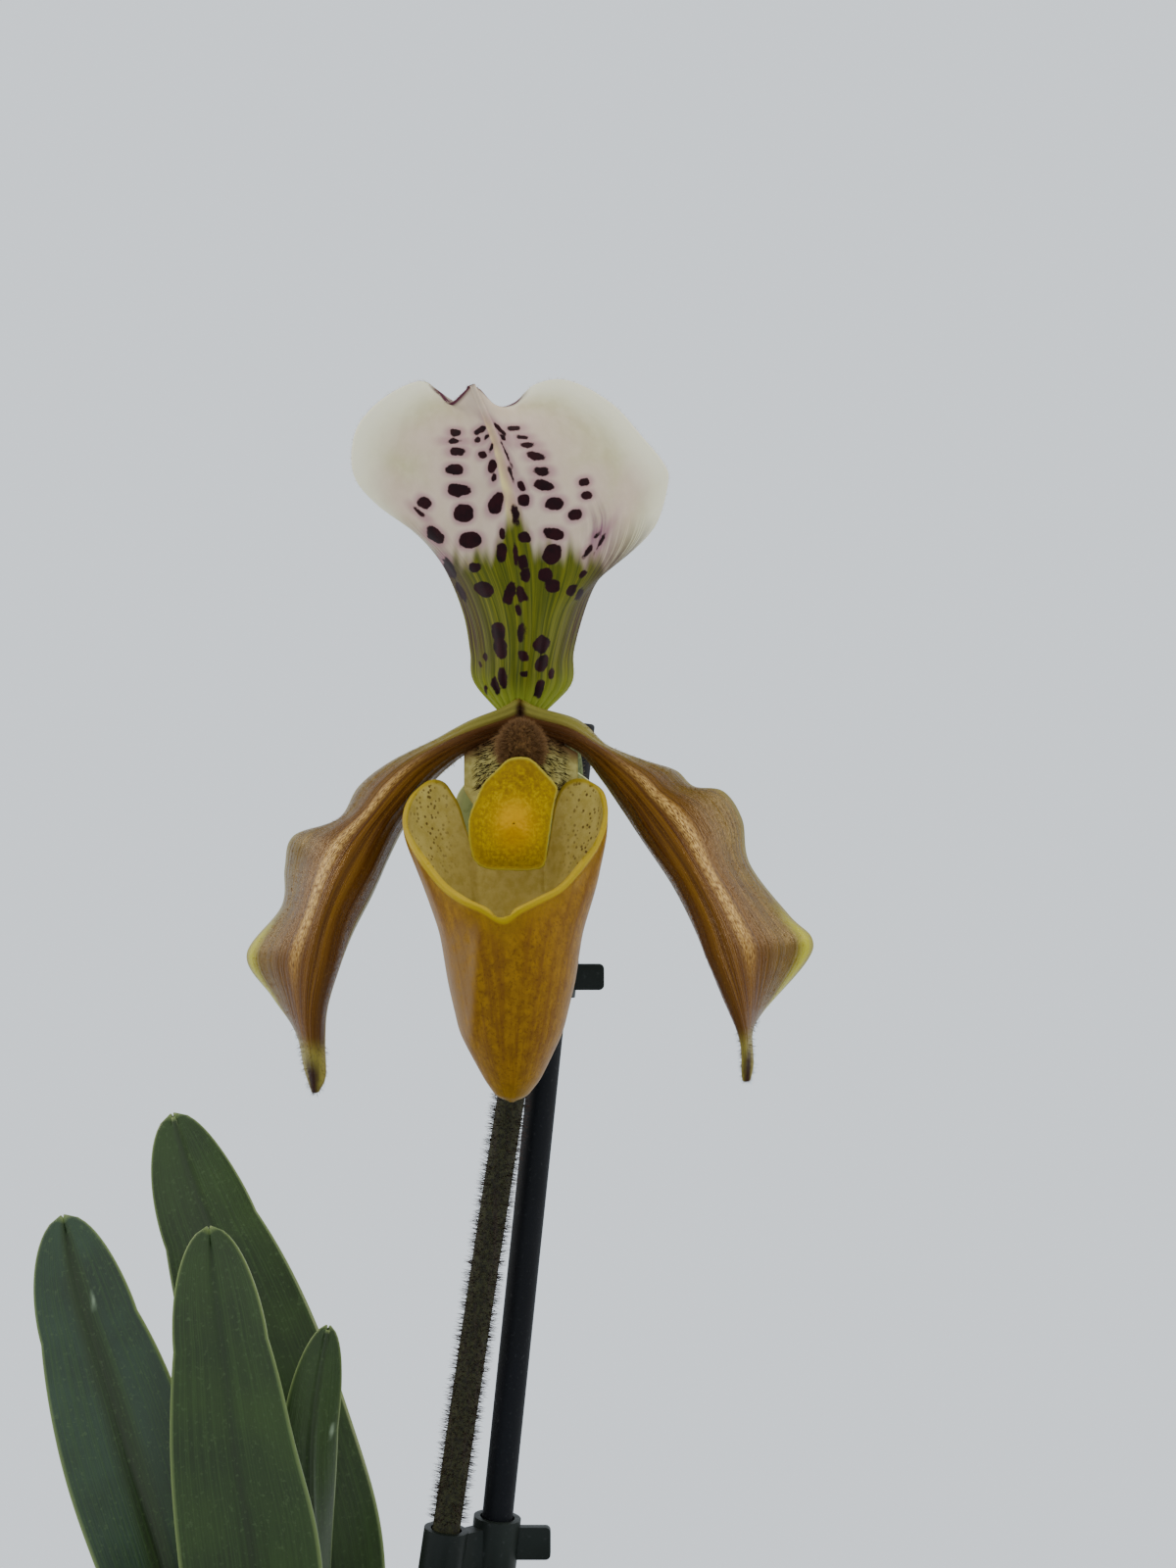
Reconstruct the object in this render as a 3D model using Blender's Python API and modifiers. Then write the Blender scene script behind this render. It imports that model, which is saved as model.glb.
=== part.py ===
"""Paphiopedilum orchid in its pot: one flower on a staked stem, with two growths of leaves.

Sizes are in millimetres and are turned into metres where the meshes are made.
The origin is the middle of the pot's underside, +Z is up and the flower faces -Y.
"""

import math
import random

import bmesh
import bpy
import numpy as np
from mathutils import Matrix, Vector

MM = 0.001
SEED = 11
FIT_GAP = 0.3

# Pot and bark
POT_HEIGHT = 105.0
POT_TOP_RADIUS = 60.0
POT_BASE_RADIUS = 44.0
POT_WALL = 2.0
POT_FLOOR = 3.0
POT_LIP_HEIGHT = 9.0
POT_LIP_STEP = 2.0
POT_SIDES = 48
DRAIN_RADIUS = 4.5
DRAIN_RING = 27.0
DRAIN_COUNT = 4
BARK_TOP = 93.0
CHIP_COUNT = 40

# Flower stem, stake and where both leave the bark
STEM_RADIUS = 2.1
STEM_FOOT = 76.0
STEM_PATH = [
    (-8.2, 0.0, 76.0), (-5.8, 0.0, 93.0), (-0.7, 0.0, 128.0), (6.6, 0.0, 178.0),
    (11.6, 0.0, 212.0), (16.2, 0.0, 242.0), (19.6, 0.0, 264.0),
]
STAKE_RADIUS = 2.4
STAKE_TOP = (26.7, 6.0, 299.5)
STAKE_LEAN = 0.1036
STAKE_FOOT = 15.0

# Crowns that the leaves grow from
CROWN_A = (-6.0, 0.0)
CROWN_A_RADIUS = 6.0
CROWN_B = (-19.0, 9.0)
CROWN_B_RADIUS = 5.6
CROWN_FOOT = 74.0
CROWN_TOP = 99.0

# Flower: every flower outline below is measured from where the petals meet
FLOWER = (18.0, -20.0, 298.0)
BLADE_THICKNESS = 0.7

DORSAL_LEFT = [
    (-2.6, 3.6, 2.2), (-6.7, 5.5, 7.1), (-7.3, 7.5, 11.6), (-8.3, 8.0, 17.1), (-10.5, 7.0, 22.8),
    (-12.9, 6.0, 26.5), (-16.2, 5.0, 29.7), (-20.5, 4.0, 32.7), (-23.7, 3.0, 36.3),
    (-24.3, 2.0, 40.2), (-23.0, 1.0, 44.4), (-19.1, -1.0, 47.8), (-14.2, -4.0, 49.5),
    (-11.6, -7.5, 47.8), (-9.4, -11.5, 45.2), (-6.6, -15.5, 46.6),
]
DORSAL_MIDDLE = [
    (0.3, 1.8, 2.2), (0.7, -0.6, 7.5), (1.2, -3.0, 13.1), (1.1, -5.0, 19.9), (0.3, -7.0, 26.7),
    (-1.0, -9.0, 33.4), (-2.8, -12.0, 39.8), (-5.9, -16.0, 46.9),
]
DORSAL_RIGHT = [
    (3.4, 3.6, 2.2), (7.5, 5.5, 6.7), (7.8, 7.5, 11.6), (9.3, 8.0, 17.4), (11.0, 7.0, 21.5),
    (13.0, 6.0, 23.7), (16.8, 5.0, 26.6), (20.0, 4.0, 30.3), (21.6, 3.0, 36.0),
    (21.0, 2.0, 38.5), (17.7, 1.0, 42.4), (13.3, 0.0, 47.0), (7.2, -2.0, 49.9),
    (2.6, -4.5, 49.0), (-0.3, -8.0, 45.8), (-2.8, -12.0, 44.6), (-5.2, -15.5, 46.6),
]

PETAL_LEFT_UPPER = [
    (-0.7, 1.4, 1.6), (-6.9, -0.6, 0.8), (-12.7, 0.0, -1.9), (-18.8, 1.0, -4.9), (-23.3, 2.0, -8.4),
    (-26.1, 0.0, -13.1), (-32.9, 3.0, -15.6), (-34.4, 5.0, -20.2), (-34.5, 2.0, -25.8),
    (-39.7, 3.0, -32.9), (-35.6, 0.0, -38.7), (-31.8, -3.0, -43.4), (-30.3, -5.0, -48.5),
    (-29.0, -6.4, -51.4),
]
PETAL_LEFT_MIDDLE = [
    (-0.9, 1.3, 0.6), (-8.2, -2.2, -2.0), (-14.4, -3.4, -5.9), (-19.7, -6.0, -12.1),
    (-24.2, -9.0, -19.0), (-27.1, -10.0, -25.9), (-29.0, -10.0, -33.4), (-29.6, -9.0, -40.4),
    (-28.9, -8.0, -47.4), (-28.6, -7.0, -51.6),
]
PETAL_LEFT_LOWER = [
    (-1.2, 1.4, -0.6), (-7.2, 1.5, -3.1), (-12.7, 2.5, -7.7), (-16.4, 1.0, -13.6),
    (-18.6, -2.0, -18.3), (-20.8, -4.0, -23.6), (-23.5, -6.0, -29.2), (-25.5, -7.0, -34.6),
    (-27.0, -7.0, -39.9), (-27.3, -7.0, -44.8), (-27.2, -7.0, -49.3), (-28.1, -7.0, -51.4),
]
PETAL_RIGHT_UPPER = [
    (1.1, 1.4, 1.6), (8.3, 0.0, 1.2), (13.1, 1.0, -2.7), (18.5, 1.0, -4.7), (22.8, 2.0, -6.1),
    (25.3, 0.0, -8.4), (29.7, 3.0, -9.1), (32.5, 4.0, -13.2), (33.5, 2.0, -19.7),
    (39.3, 3.0, -27.2), (42.7, 4.0, -30.6), (41.7, 3.0, -34.0), (35.3, -1.0, -40.6),
    (33.4, -4.0, -43.0), (33.4, -6.0, -47.7), (32.9, -6.5, -49.8),
]
PETAL_RIGHT_MIDDLE = [
    (1.3, 1.3, 0.6), (8.6, -2.2, -1.7), (14.9, -3.6, -6.6), (20.4, -6.4, -13.3),
    (24.9, -9.0, -20.4), (28.6, -10.0, -27.9), (30.9, -10.0, -35.5), (32.1, -9.0, -42.5),
    (32.4, -7.0, -50.0),
]
PETAL_RIGHT_LOWER = [
    (1.6, 1.4, -0.6), (8.3, 1.5, -2.9), (12.1, 2.5, -7.3), (16.8, 0.0, -14.3),
    (22.1, -4.0, -22.3), (26.4, -7.0, -30.9), (29.1, -8.0, -37.9), (31.6, -8.0, -44.2),
    (31.9, -7.0, -49.8),
]

SYNSEPAL_LEFT = [
    (-1.8, 4.4, -3.3), (-8.9, 6.5, -9.0), (-9.4, 8.0, -15.2), (-8.2, 9.0, -22.5),
    (-4.5, 8.0, -31.0), (-0.4, 6.0, -37.2),
]
SYNSEPAL_MIDDLE = [
    (0.8, 5.2, -3.5), (0.8, 9.5, -11.0), (1.2, 11.0, -18.0), (1.4, 11.0, -26.0),
    (1.0, 9.0, -33.0), (0.4, 6.0, -37.8),
]
SYNSEPAL_RIGHT = [
    (3.2, 4.4, -3.3), (11.2, 6.5, -8.6), (12.3, 8.0, -15.2), (10.8, 9.0, -24.5),
    (6.2, 8.0, -32.0), (1.2, 6.0, -37.2),
]

# Pouch: the rim from the front notch round by the right ear, the back and the left ear
POUCH_THICKNESS = 0.8
POUCH_RIM = [
    (-0.8, -26.2, -25.9), (0.6, -26.0, -24.7), (3.3, -24.4, -23.4), (6.5, -21.6, -21.8),
    (9.2, -18.0, -18.9), (11.4, -14.0, -15.9), (12.4, -11.0, -12.9), (12.3, -7.0, -10.2),
    (11.5, -4.4, -8.4), (9.4, -2.4, -7.3), (7.3, -1.2, -7.7), (5.9, -0.8, -9.4),
    (5.2, -0.6, -12.6), (4.8, -0.6, -15.6), (4.2, -0.4, -18.4), (3.0, 0.0, -17.0),
    (2.4, 0.4, -11.0), (1.9, 0.6, -6.6), (0.0, 0.8, -5.7), (-1.9, 0.6, -6.6),
    (-3.0, 0.4, -11.0), (-4.6, 0.0, -17.0), (-6.2, -0.4, -18.6), (-7.3, -0.6, -16.2),
    (-8.0, -0.6, -13.8), (-8.7, -0.8, -11.3), (-9.6, -1.2, -9.4), (-10.8, -1.4, -7.9),
    (-12.5, -3.0, -7.4), (-14.4, -5.0, -8.8), (-15.5, -8.0, -11.0), (-15.6, -11.0, -13.6),
    (-14.4, -15.0, -16.0), (-12.4, -18.2, -18.6), (-9.9, -21.2, -21.4), (-7.0, -24.2, -23.3),
    (-4.0, -25.8, -24.5), (-2.2, -26.2, -25.7),
]
# Levels of the pouch's body: height, middle, half width, front, back
POUCH_BODY = [
    (-51.0, -0.4, 0.2, -19.2, -18.8), (-50.3, -0.4, 1.9, -21.4, -16.6),
    (-48.2, -0.3, 3.5, -23.4, -14.0), (-45.0, -0.4, 5.2, -25.2, -11.0),
    (-41.8, -0.5, 6.8, -26.4, -8.8), (-35.1, -0.6, 9.3, -27.4, -5.6),
    (-28.4, -0.8, 10.9, -27.0, -3.6), (-22.3, -1.4, 12.3, -25.4, -2.4),
    (-15.0, -1.6, 13.6, -21.5, -1.6), (-6.0, -1.6, 13.4, -17.0, -0.8),
]

STAMINODE_OUTLINE = [
    (-0.6, -4.6), (-4.2, -7.4), (-6.1, -11.5), (-6.6, -14.3), (-6.4, -17.0), (-5.4, -19.1),
    (-3.0, -19.9), (0.6, -19.8), (3.2, -19.7), (4.3, -18.6), (4.8, -14.7), (5.4, -9.4),
    (4.2, -7.0), (1.6, -4.6),
]
STAMINODE_MIDDLE = (-0.3, -13.4)
STAMINODE_FRONT = -13.6
STAMINODE_THICKNESS = 1.0

COLUMN_MIDDLE = (0.5, -5.0, -3.0)
COLUMN_RADII = (3.2, 6.9, 3.6)

OVARY_PATH = [
    (19.7, 0.0, 264.6, 2.3), (22.0, -0.2, 274.0, 2.4), (24.2, -0.6, 284.0, 2.3),
    (24.9, -2.6, 292.0, 2.2), (23.6, -7.0, 297.0, 2.2), (20.8, -11.4, 298.2, 2.3),
    (18.5, -15.2, 297.6, 2.5), (18.2, -17.6, 297.2, 2.5),
]
BRACT_HEIGHT = 26.0
BRACT_FOOT = 265.6
BRACT_RADIUS = 3.3

# Leaves: place, half width, depth of the channel, and the way the blade's right edge points,
# in degrees from +X. Each place is measured from the leaf's crown at the bark's surface.
LEAVES_B = {
    "leaf_left": [
        (-6.4, 0.0, 3.0, 3.8, 1.6, 90.0), (-8.0, 0.5, 20.0, 5.0, 1.8, 80.0),
        (-12.0, 0.5, 38.0, 6.6, 2.0, 60.0), (-20.1, 2.0, 73.3, 9.6, 2.2, 20.0),
        (-25.1, 4.0, 88.2, 10.4, 2.0, 8.0), (-30.1, 7.0, 103.0, 9.6, 1.6, 0.0),
        (-33.8, 9.0, 112.0, 7.6, 1.2, 0.0), (-36.6, 11.0, 120.5, 4.9, 0.8, 0.0),
        (-38.3, 13.0, 127.0, 1.2, 0.2, 0.0),
    ],
    "leaf_front": [
        (-1.0, -6.4, 3.0, 3.8, 1.6, 0.0), (-1.5, -7.6, 20.0, 5.4, 2.0, 0.0),
        (-2.2, -8.0, 38.0, 8.2, 2.4, 0.0), (-4.3, -7.0, 76.3, 11.0, 2.6, 0.0),
        (-7.3, -6.0, 91.1, 9.9, 2.2, 0.0), (-9.0, -5.0, 106.0, 8.3, 1.8, 0.0),
        (-11.0, -3.5, 118.0, 5.6, 1.0, 0.0), (-12.3, -1.0, 127.8, 1.2, 0.2, 0.0),
    ],
    "leaf_back": [
        (0.6, 6.4, 3.0, 3.8, -1.6, 0.0), (2.0, 8.0, 20.0, 5.4, -2.0, 0.0),
        (4.5, 9.4, 38.0, 7.4, -2.4, 0.0), (3.5, 10.0, 71.3, 11.0, -2.6, 0.0),
        (-0.6, 13.0, 85.9, 11.4, -2.6, 0.0), (-5.6, 18.0, 100.5, 11.4, -2.2, 0.0),
        (-11.6, 24.0, 115.3, 9.8, -1.6, 0.0), (-15.2, 27.5, 122.9, 8.0, -1.2, 0.0),
        (-19.3, 31.0, 130.7, 5.6, -0.8, 0.0), (-22.4, 34.0, 140.6, 1.2, -0.2, 0.0),
    ],
    "leaf_small": [
        (6.2, 0.0, 3.0, 2.8, -0.8, 90.0), (5.4, -0.6, 30.0, 3.0, -1.0, 80.0),
        (4.0, -0.8, 74.3, 4.2, -1.2, 50.0), (3.2, 0.2, 89.1, 4.4, -1.2, 30.0),
        (4.0, 2.0, 101.0, 3.4, -0.8, 20.0), (5.8, 4.5, 111.1, 0.9, -0.2, 10.0),
    ],
}
# Leaves of the flowering growth lie outside the picture: compass direction at the crown and at
# the tip, length on the flat, greatest height above the bark, and droop of the tip
LEAVES_A = {
    "leaf_low_front_left": (225.0, 232.0, 118.0, 52.0, 24.0),
    "leaf_low_front": (287.0, 312.0, 132.0, 60.0, 28.0),
    "leaf_low_right": (350.0, 354.0, 122.0, 46.0, 20.0),
    "leaf_low_back": (66.0, 70.0, 116.0, 38.0, 16.0),
}
LEAF_A_HALF_WIDTH = 10.5

# Plant clips: height of the middle on the stem, ring height, tab length and tab height
CLIP_WALL = 1.0
CLIPS = {
    "clip_lower": (172.0, 8.0, 6.0, 5.0),
    "clip_upper": (260.0, 5.6, 5.2, 4.0),
}

COLOURS = {
    "pot_plastic": ((0.035, 0.036, 0.038), 0.5),
    "bark": ((0.16, 0.085, 0.045), 0.9),
    "crown_green": ((0.16, 0.19, 0.06), 0.6),
    "leaf_green": ((0.035, 0.095, 0.025), 0.4),
    "stem_green": ((0.075, 0.075, 0.03), 0.7),
    "bract_green": ((0.12, 0.17, 0.05), 0.6),
    "ovary_green": ((0.11, 0.13, 0.07), 0.7),
    "dorsal_white": ((0.78, 0.76, 0.62), 0.55),
    "petal_brown": ((0.24, 0.12, 0.03), 0.25),
    "pouch_yellow": ((0.34, 0.18, 0.03), 0.3),
    "staminode_yellow": ((0.55, 0.36, 0.02), 0.3),
    "column_brown": ((0.12, 0.045, 0.02), 0.8),
    "synsepal_green": ((0.42, 0.45, 0.16), 0.5),
    "stake_plastic": ((0.02, 0.02, 0.022), 0.45),
    "clip_plastic": ((0.03, 0.04, 0.034), 0.4),
}


def clear_scene():
    for item in list(bpy.data.objects):
        bpy.data.objects.remove(item, do_unlink=True)


def make_collection(name):
    group = bpy.data.collections.new(name)
    bpy.context.scene.collection.children.link(group)
    return group


def make_material(name):
    colour, roughness = COLOURS[name]
    material = bpy.data.materials.get(name) or bpy.data.materials.new(name)
    material.use_nodes = True
    shader = material.node_tree.nodes["Principled BSDF"]
    shader.inputs["Base Color"].default_value = (*colour, 1.0)
    shader.inputs["Roughness"].default_value = roughness
    shader.inputs["Metallic"].default_value = 0.0
    return material


def make_object(name, mesh_data, material, group, origin=(0.0, 0.0, 0.0)):
    """Turn a mesh held in millimetres round its origin into a named object in metres."""
    bmesh.ops.scale(mesh_data, vec=(MM, MM, MM), verts=mesh_data.verts)
    mesh = bpy.data.meshes.new(name)
    mesh_data.to_mesh(mesh)
    mesh_data.free()
    item = bpy.data.objects.new(name, mesh)
    item.location = Vector(origin) * MM
    mesh.materials.append(make_material(material))
    group.objects.link(item)
    return item


# Lines and surfaces


def smooth_line(points, count):
    """Points evenly spaced along a smooth line through the given ones; extra columns follow."""
    given = np.array(points, dtype=float)
    before = 2.0 * given[0] - given[1]
    after = 2.0 * given[-1] - given[-2]
    padded = np.vstack([before, given, after])
    pieces = 12
    fine = []
    for index in range(len(given) - 1):
        a, b, c, d = padded[index:index + 4]
        for step in range(pieces):
            t = step / pieces
            fine.append(0.5 * (2 * b + (c - a) * t + (2 * a - 5 * b + 4 * c - d) * t ** 2
                               + (3 * b - a - 3 * c + d) * t ** 3))
    fine.append(given[-1])
    fine = np.array(fine)
    lengths = np.linalg.norm(np.diff(fine[:, :3], axis=0), axis=1)
    along = np.concatenate([[0.0], np.cumsum(lengths)])
    wanted = np.linspace(0.0, along[-1], count + 1)
    columns = [np.interp(wanted, along, fine[:, k]) for k in range(fine.shape[1])]
    return np.stack(columns, axis=1)


def surface_mesh(rows):
    """A grid laid over rows of points; points that fall together are welded."""
    across = len(rows[0])
    along = len(rows)
    mesh = bmesh.new()
    bmesh.ops.create_grid(mesh, x_segments=across - 1, y_segments=along - 1, size=1.0)
    for vertex in mesh.verts:
        column = round((vertex.co.x + 1.0) / 2.0 * (across - 1))
        row = round((vertex.co.y + 1.0) / 2.0 * (along - 1))
        vertex.co = Vector(rows[row][column])
    bmesh.ops.remove_doubles(mesh, verts=mesh.verts, dist=0.001)
    bmesh.ops.triangulate(mesh, faces=mesh.faces)
    return mesh


def add_thickness(item, thickness):
    solidify = item.modifiers.new("thickness", "SOLIDIFY")
    solidify.thickness = thickness * MM
    solidify.offset = 0.0


def blade_rows(left, middle, right, along, across, ridge=2.0):
    """Rows of a blade that passes through its two edges and its middle line."""
    left_line = smooth_line(left, along)
    middle_line = smooth_line(middle, along)
    right_line = smooth_line(right, along)
    rows = []
    for edge_a, centre, edge_b in zip(left_line, middle_line, right_line):
        spread = (edge_b - edge_a) / 2.0
        lift = (edge_a + edge_b) / 2.0 - centre
        row = []
        for step in range(across + 1):
            u = -1.0 + 2.0 * step / across
            row.append(centre + spread * u + lift * abs(u) ** ridge)
        rows.append(row)
    return rows


def make_blade(name, left, middle, right, along, across, material, group, ridge=2.0):
    mesh = surface_mesh(blade_rows(left, middle, right, along, across, ridge))
    item = make_object(name, mesh, material, group, FLOWER)
    add_thickness(item, BLADE_THICKNESS)
    return item


def tube_rows(path, sides, steps):
    """Rows of a round closed body along a path of places and radii."""
    line = smooth_line(path, steps)
    rows = [[line[0][:3]] * (sides + 1)]
    for index, station in enumerate(line):
        ahead = line[min(index + 1, steps)][:3] - line[max(index - 1, 0)][:3]
        axis = Vector(ahead).normalized()
        side = axis.cross(Vector((0.0, 1.0, 0.3))).normalized()
        other = axis.cross(side)
        ring = []
        for step in range(sides + 1):
            angle = 2.0 * math.pi * (step % sides) / sides
            offset = (side * math.cos(angle) + other * math.sin(angle)) * station[3]
            ring.append(Vector(station[:3]) + offset)
        rows.append(ring)
    rows.append([line[-1][:3]] * (sides + 1))
    return rows


def make_tube(name, path, sides, steps, material, group):
    mesh = surface_mesh(tube_rows(path, sides, steps))
    bmesh.ops.recalc_face_normals(mesh, faces=mesh.faces)
    return make_object(name, mesh, material, group)


def make_turned(name, profile, sides, material, group, origin=(0.0, 0.0, 0.0)):
    """A body turned about its own Z axis from a profile of radius and height."""
    rows = []
    for radius, height in profile:
        ring = []
        for step in range(sides + 1):
            angle = 2.0 * math.pi * (step % sides) / sides
            ring.append((radius * math.cos(angle), radius * math.sin(angle), height))
        rows.append(ring)
    mesh = surface_mesh(rows)
    bmesh.ops.recalc_face_normals(mesh, faces=mesh.faces)
    return make_object(name, mesh, material, group, origin)


def make_rod(name, radius, start, end, sides, material, group):
    """A straight round bar between two places."""
    mesh = bmesh.new()
    reach = Vector(end) - Vector(start)
    bmesh.ops.create_cone(mesh, cap_ends=True, segments=sides, radius1=radius, radius2=radius,
                          depth=reach.length)
    turn = Vector((0.0, 0.0, 1.0)).rotation_difference(reach.normalized()).to_matrix().to_4x4()
    middle = (Vector(start) + Vector(end)) / 2.0
    bmesh.ops.transform(mesh, matrix=Matrix.Translation(middle) @ turn, verts=mesh.verts)
    return make_object(name, mesh, material, group)


def make_box(name, size, matrix, material, group):
    mesh = bmesh.new()
    bmesh.ops.create_cube(mesh, size=1.0)
    bmesh.ops.scale(mesh, vec=size, verts=mesh.verts)
    bmesh.ops.transform(mesh, matrix=matrix, verts=mesh.verts)
    return make_object(name, mesh, material, group)


def hide_cutter(item):
    item.hide_render = True
    item.display_type = "WIRE"


def cut(item, cutter):
    hide_cutter(cutter)
    boolean = item.modifiers.new("cut " + cutter.name, "BOOLEAN")
    boolean.operation = "DIFFERENCE"
    boolean.solver = "EXACT"
    boolean.object = cutter


def apply_modifiers(item):
    graph = bpy.context.evaluated_depsgraph_get()
    mesh = bpy.data.meshes.new_from_object(item.evaluated_get(graph))
    item.modifiers.clear()
    item.data = mesh


# Stem, stake and their fixings


def stake_point(height):
    top = Vector(STAKE_TOP)
    return Vector((top.x - (top.z - height) * STAKE_LEAN, top.y, height))


def stem_point(height):
    line = smooth_line(STEM_PATH, 200)
    return Vector([float(np.interp(height, line[:, 2], line[:, k])) for k in range(3)])


def build_stem_and_stake(group):
    stem_path = [(*place, STEM_RADIUS) for place in STEM_PATH]
    make_tube("scape", stem_path, 12, 22, "stem_green", group)
    foot = stake_point(STAKE_FOOT)
    make_rod("stake", STAKE_RADIUS, foot, Vector(STAKE_TOP), 20, "stake_plastic", group)


def build_clip(name, group, tools):
    """Two plain rings joined side by side, with a finger tab on the stake's side."""
    height, ring_height, tab_length, tab_height = CLIPS[name]
    stem_low, stem_high = stem_point(height - ring_height / 2), stem_point(height + ring_height / 2)
    stake_low, stake_high = stake_point(height - ring_height / 2), stake_point(height + ring_height / 2)
    stem_hole = STEM_RADIUS + FIT_GAP
    stake_hole = STAKE_RADIUS + FIT_GAP
    clip = make_rod(name, stem_hole + CLIP_WALL, stem_low, stem_high, 20, "clip_plastic", group)
    stake_ring = make_rod(name + "_stake_ring", stake_hole + CLIP_WALL, stake_low, stake_high, 20,
                          "clip_plastic", tools)
    reach = (stake_low + stake_high - stem_low - stem_high) / 2.0
    heading = math.atan2(reach.y, reach.x)
    bridge_length = max(reach.length - stem_hole - stake_hole, 0.6)
    along = reach.normalized()
    bridge_middle = (stem_low + stem_high) / 2.0 + along * (stem_hole + 0.2 + bridge_length / 2.0)
    turn = Matrix.Rotation(heading, 4, "Z")
    bridge = make_box(name + "_bridge", (bridge_length + 0.6, 3.0, ring_height * 0.72),
                      Matrix.Translation(bridge_middle) @ turn, "clip_plastic", tools)
    tab_middle = (stake_low + stake_high) / 2.0
    tab_middle += Vector((stake_hole + tab_length / 2.0, 0.0, 0.0))
    tab = make_box(name + "_tab", (tab_length, 1.6, tab_height), Matrix.Translation(tab_middle),
                   "clip_plastic", tools)
    for part in (stake_ring, bridge, tab):
        hide_cutter(part)
        union = clip.modifiers.new("join " + part.name, "BOOLEAN")
        union.operation = "UNION"
        union.solver = "EXACT"
        union.object = part
    up_stem = (stem_high - stem_low).normalized() * 3.0
    up_stake = (stake_high - stake_low).normalized() * 3.0
    cut(clip, make_rod(name + "_stem_hole", stem_hole, stem_low - up_stem, stem_high + up_stem, 20,
                       "clip_plastic", tools))
    cut(clip, make_rod(name + "_stake_hole", stake_hole, stake_low - up_stake,
                       stake_high + up_stake, 20, "clip_plastic", tools))


# Pot and bark


def build_pot(group, tools):
    lip_low = POT_HEIGHT - POT_LIP_HEIGHT
    slope = (POT_TOP_RADIUS - POT_LIP_STEP - POT_BASE_RADIUS) / POT_HEIGHT
    wall_at_lip = POT_BASE_RADIUS + slope * lip_low
    inner_base = POT_BASE_RADIUS + slope * POT_FLOOR - POT_WALL
    inner_top = POT_TOP_RADIUS - POT_LIP_STEP - POT_WALL
    profile = [
        (0.0, 0.0), (POT_BASE_RADIUS - 1.0, 0.0), (POT_BASE_RADIUS, 1.0),
        (wall_at_lip, lip_low), (POT_TOP_RADIUS - 0.6, lip_low + 0.2),
        (POT_TOP_RADIUS, lip_low + 1.0), (POT_TOP_RADIUS, POT_HEIGHT - 1.0),
        (POT_TOP_RADIUS - 1.0, POT_HEIGHT), (inner_top + 1.0, POT_HEIGHT),
        (inner_top, POT_HEIGHT - 1.0), (inner_base, POT_FLOOR), (0.0, POT_FLOOR),
    ]
    pot = make_turned("pot", profile, POT_SIDES, "pot_plastic", group)
    for index in range(DRAIN_COUNT):
        angle = math.radians(45.0) + 2.0 * math.pi * index / DRAIN_COUNT
        place = Vector((DRAIN_RING * math.cos(angle), DRAIN_RING * math.sin(angle), 0.0))
        low = place - Vector((0.0, 0.0, 2.0))
        high = place + Vector((0.0, 0.0, POT_FLOOR + 2.0))
        cut(pot, make_rod("drain_cutter_%d" % index, DRAIN_RADIUS, low, high, 16,
                          "pot_plastic", tools))


def chip_places(count):
    """Seeded places for bark chips that keep clear of the pot, the crowns and the stake."""
    draw = random.Random(SEED)
    stake = stake_point(BARK_TOP)
    keep_clear = [(CROWN_A[0], CROWN_A[1], 15.0), (CROWN_B[0], CROWN_B[1], 15.5),
                  (stake.x, stake.y, 10.0)]
    places = []
    while len(places) < count:
        radius = 47.0 * math.sqrt(draw.random())
        angle = draw.uniform(0.0, 2.0 * math.pi)
        x, y = radius * math.cos(angle), radius * math.sin(angle)
        clear = all(math.hypot(x - cx, y - cy) > reach for cx, cy, reach in keep_clear)
        apart = all(math.hypot(x - px, y - py) > 9.0 for px, py in places)
        if clear and apart:
            places.append((x, y))
    return places


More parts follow.
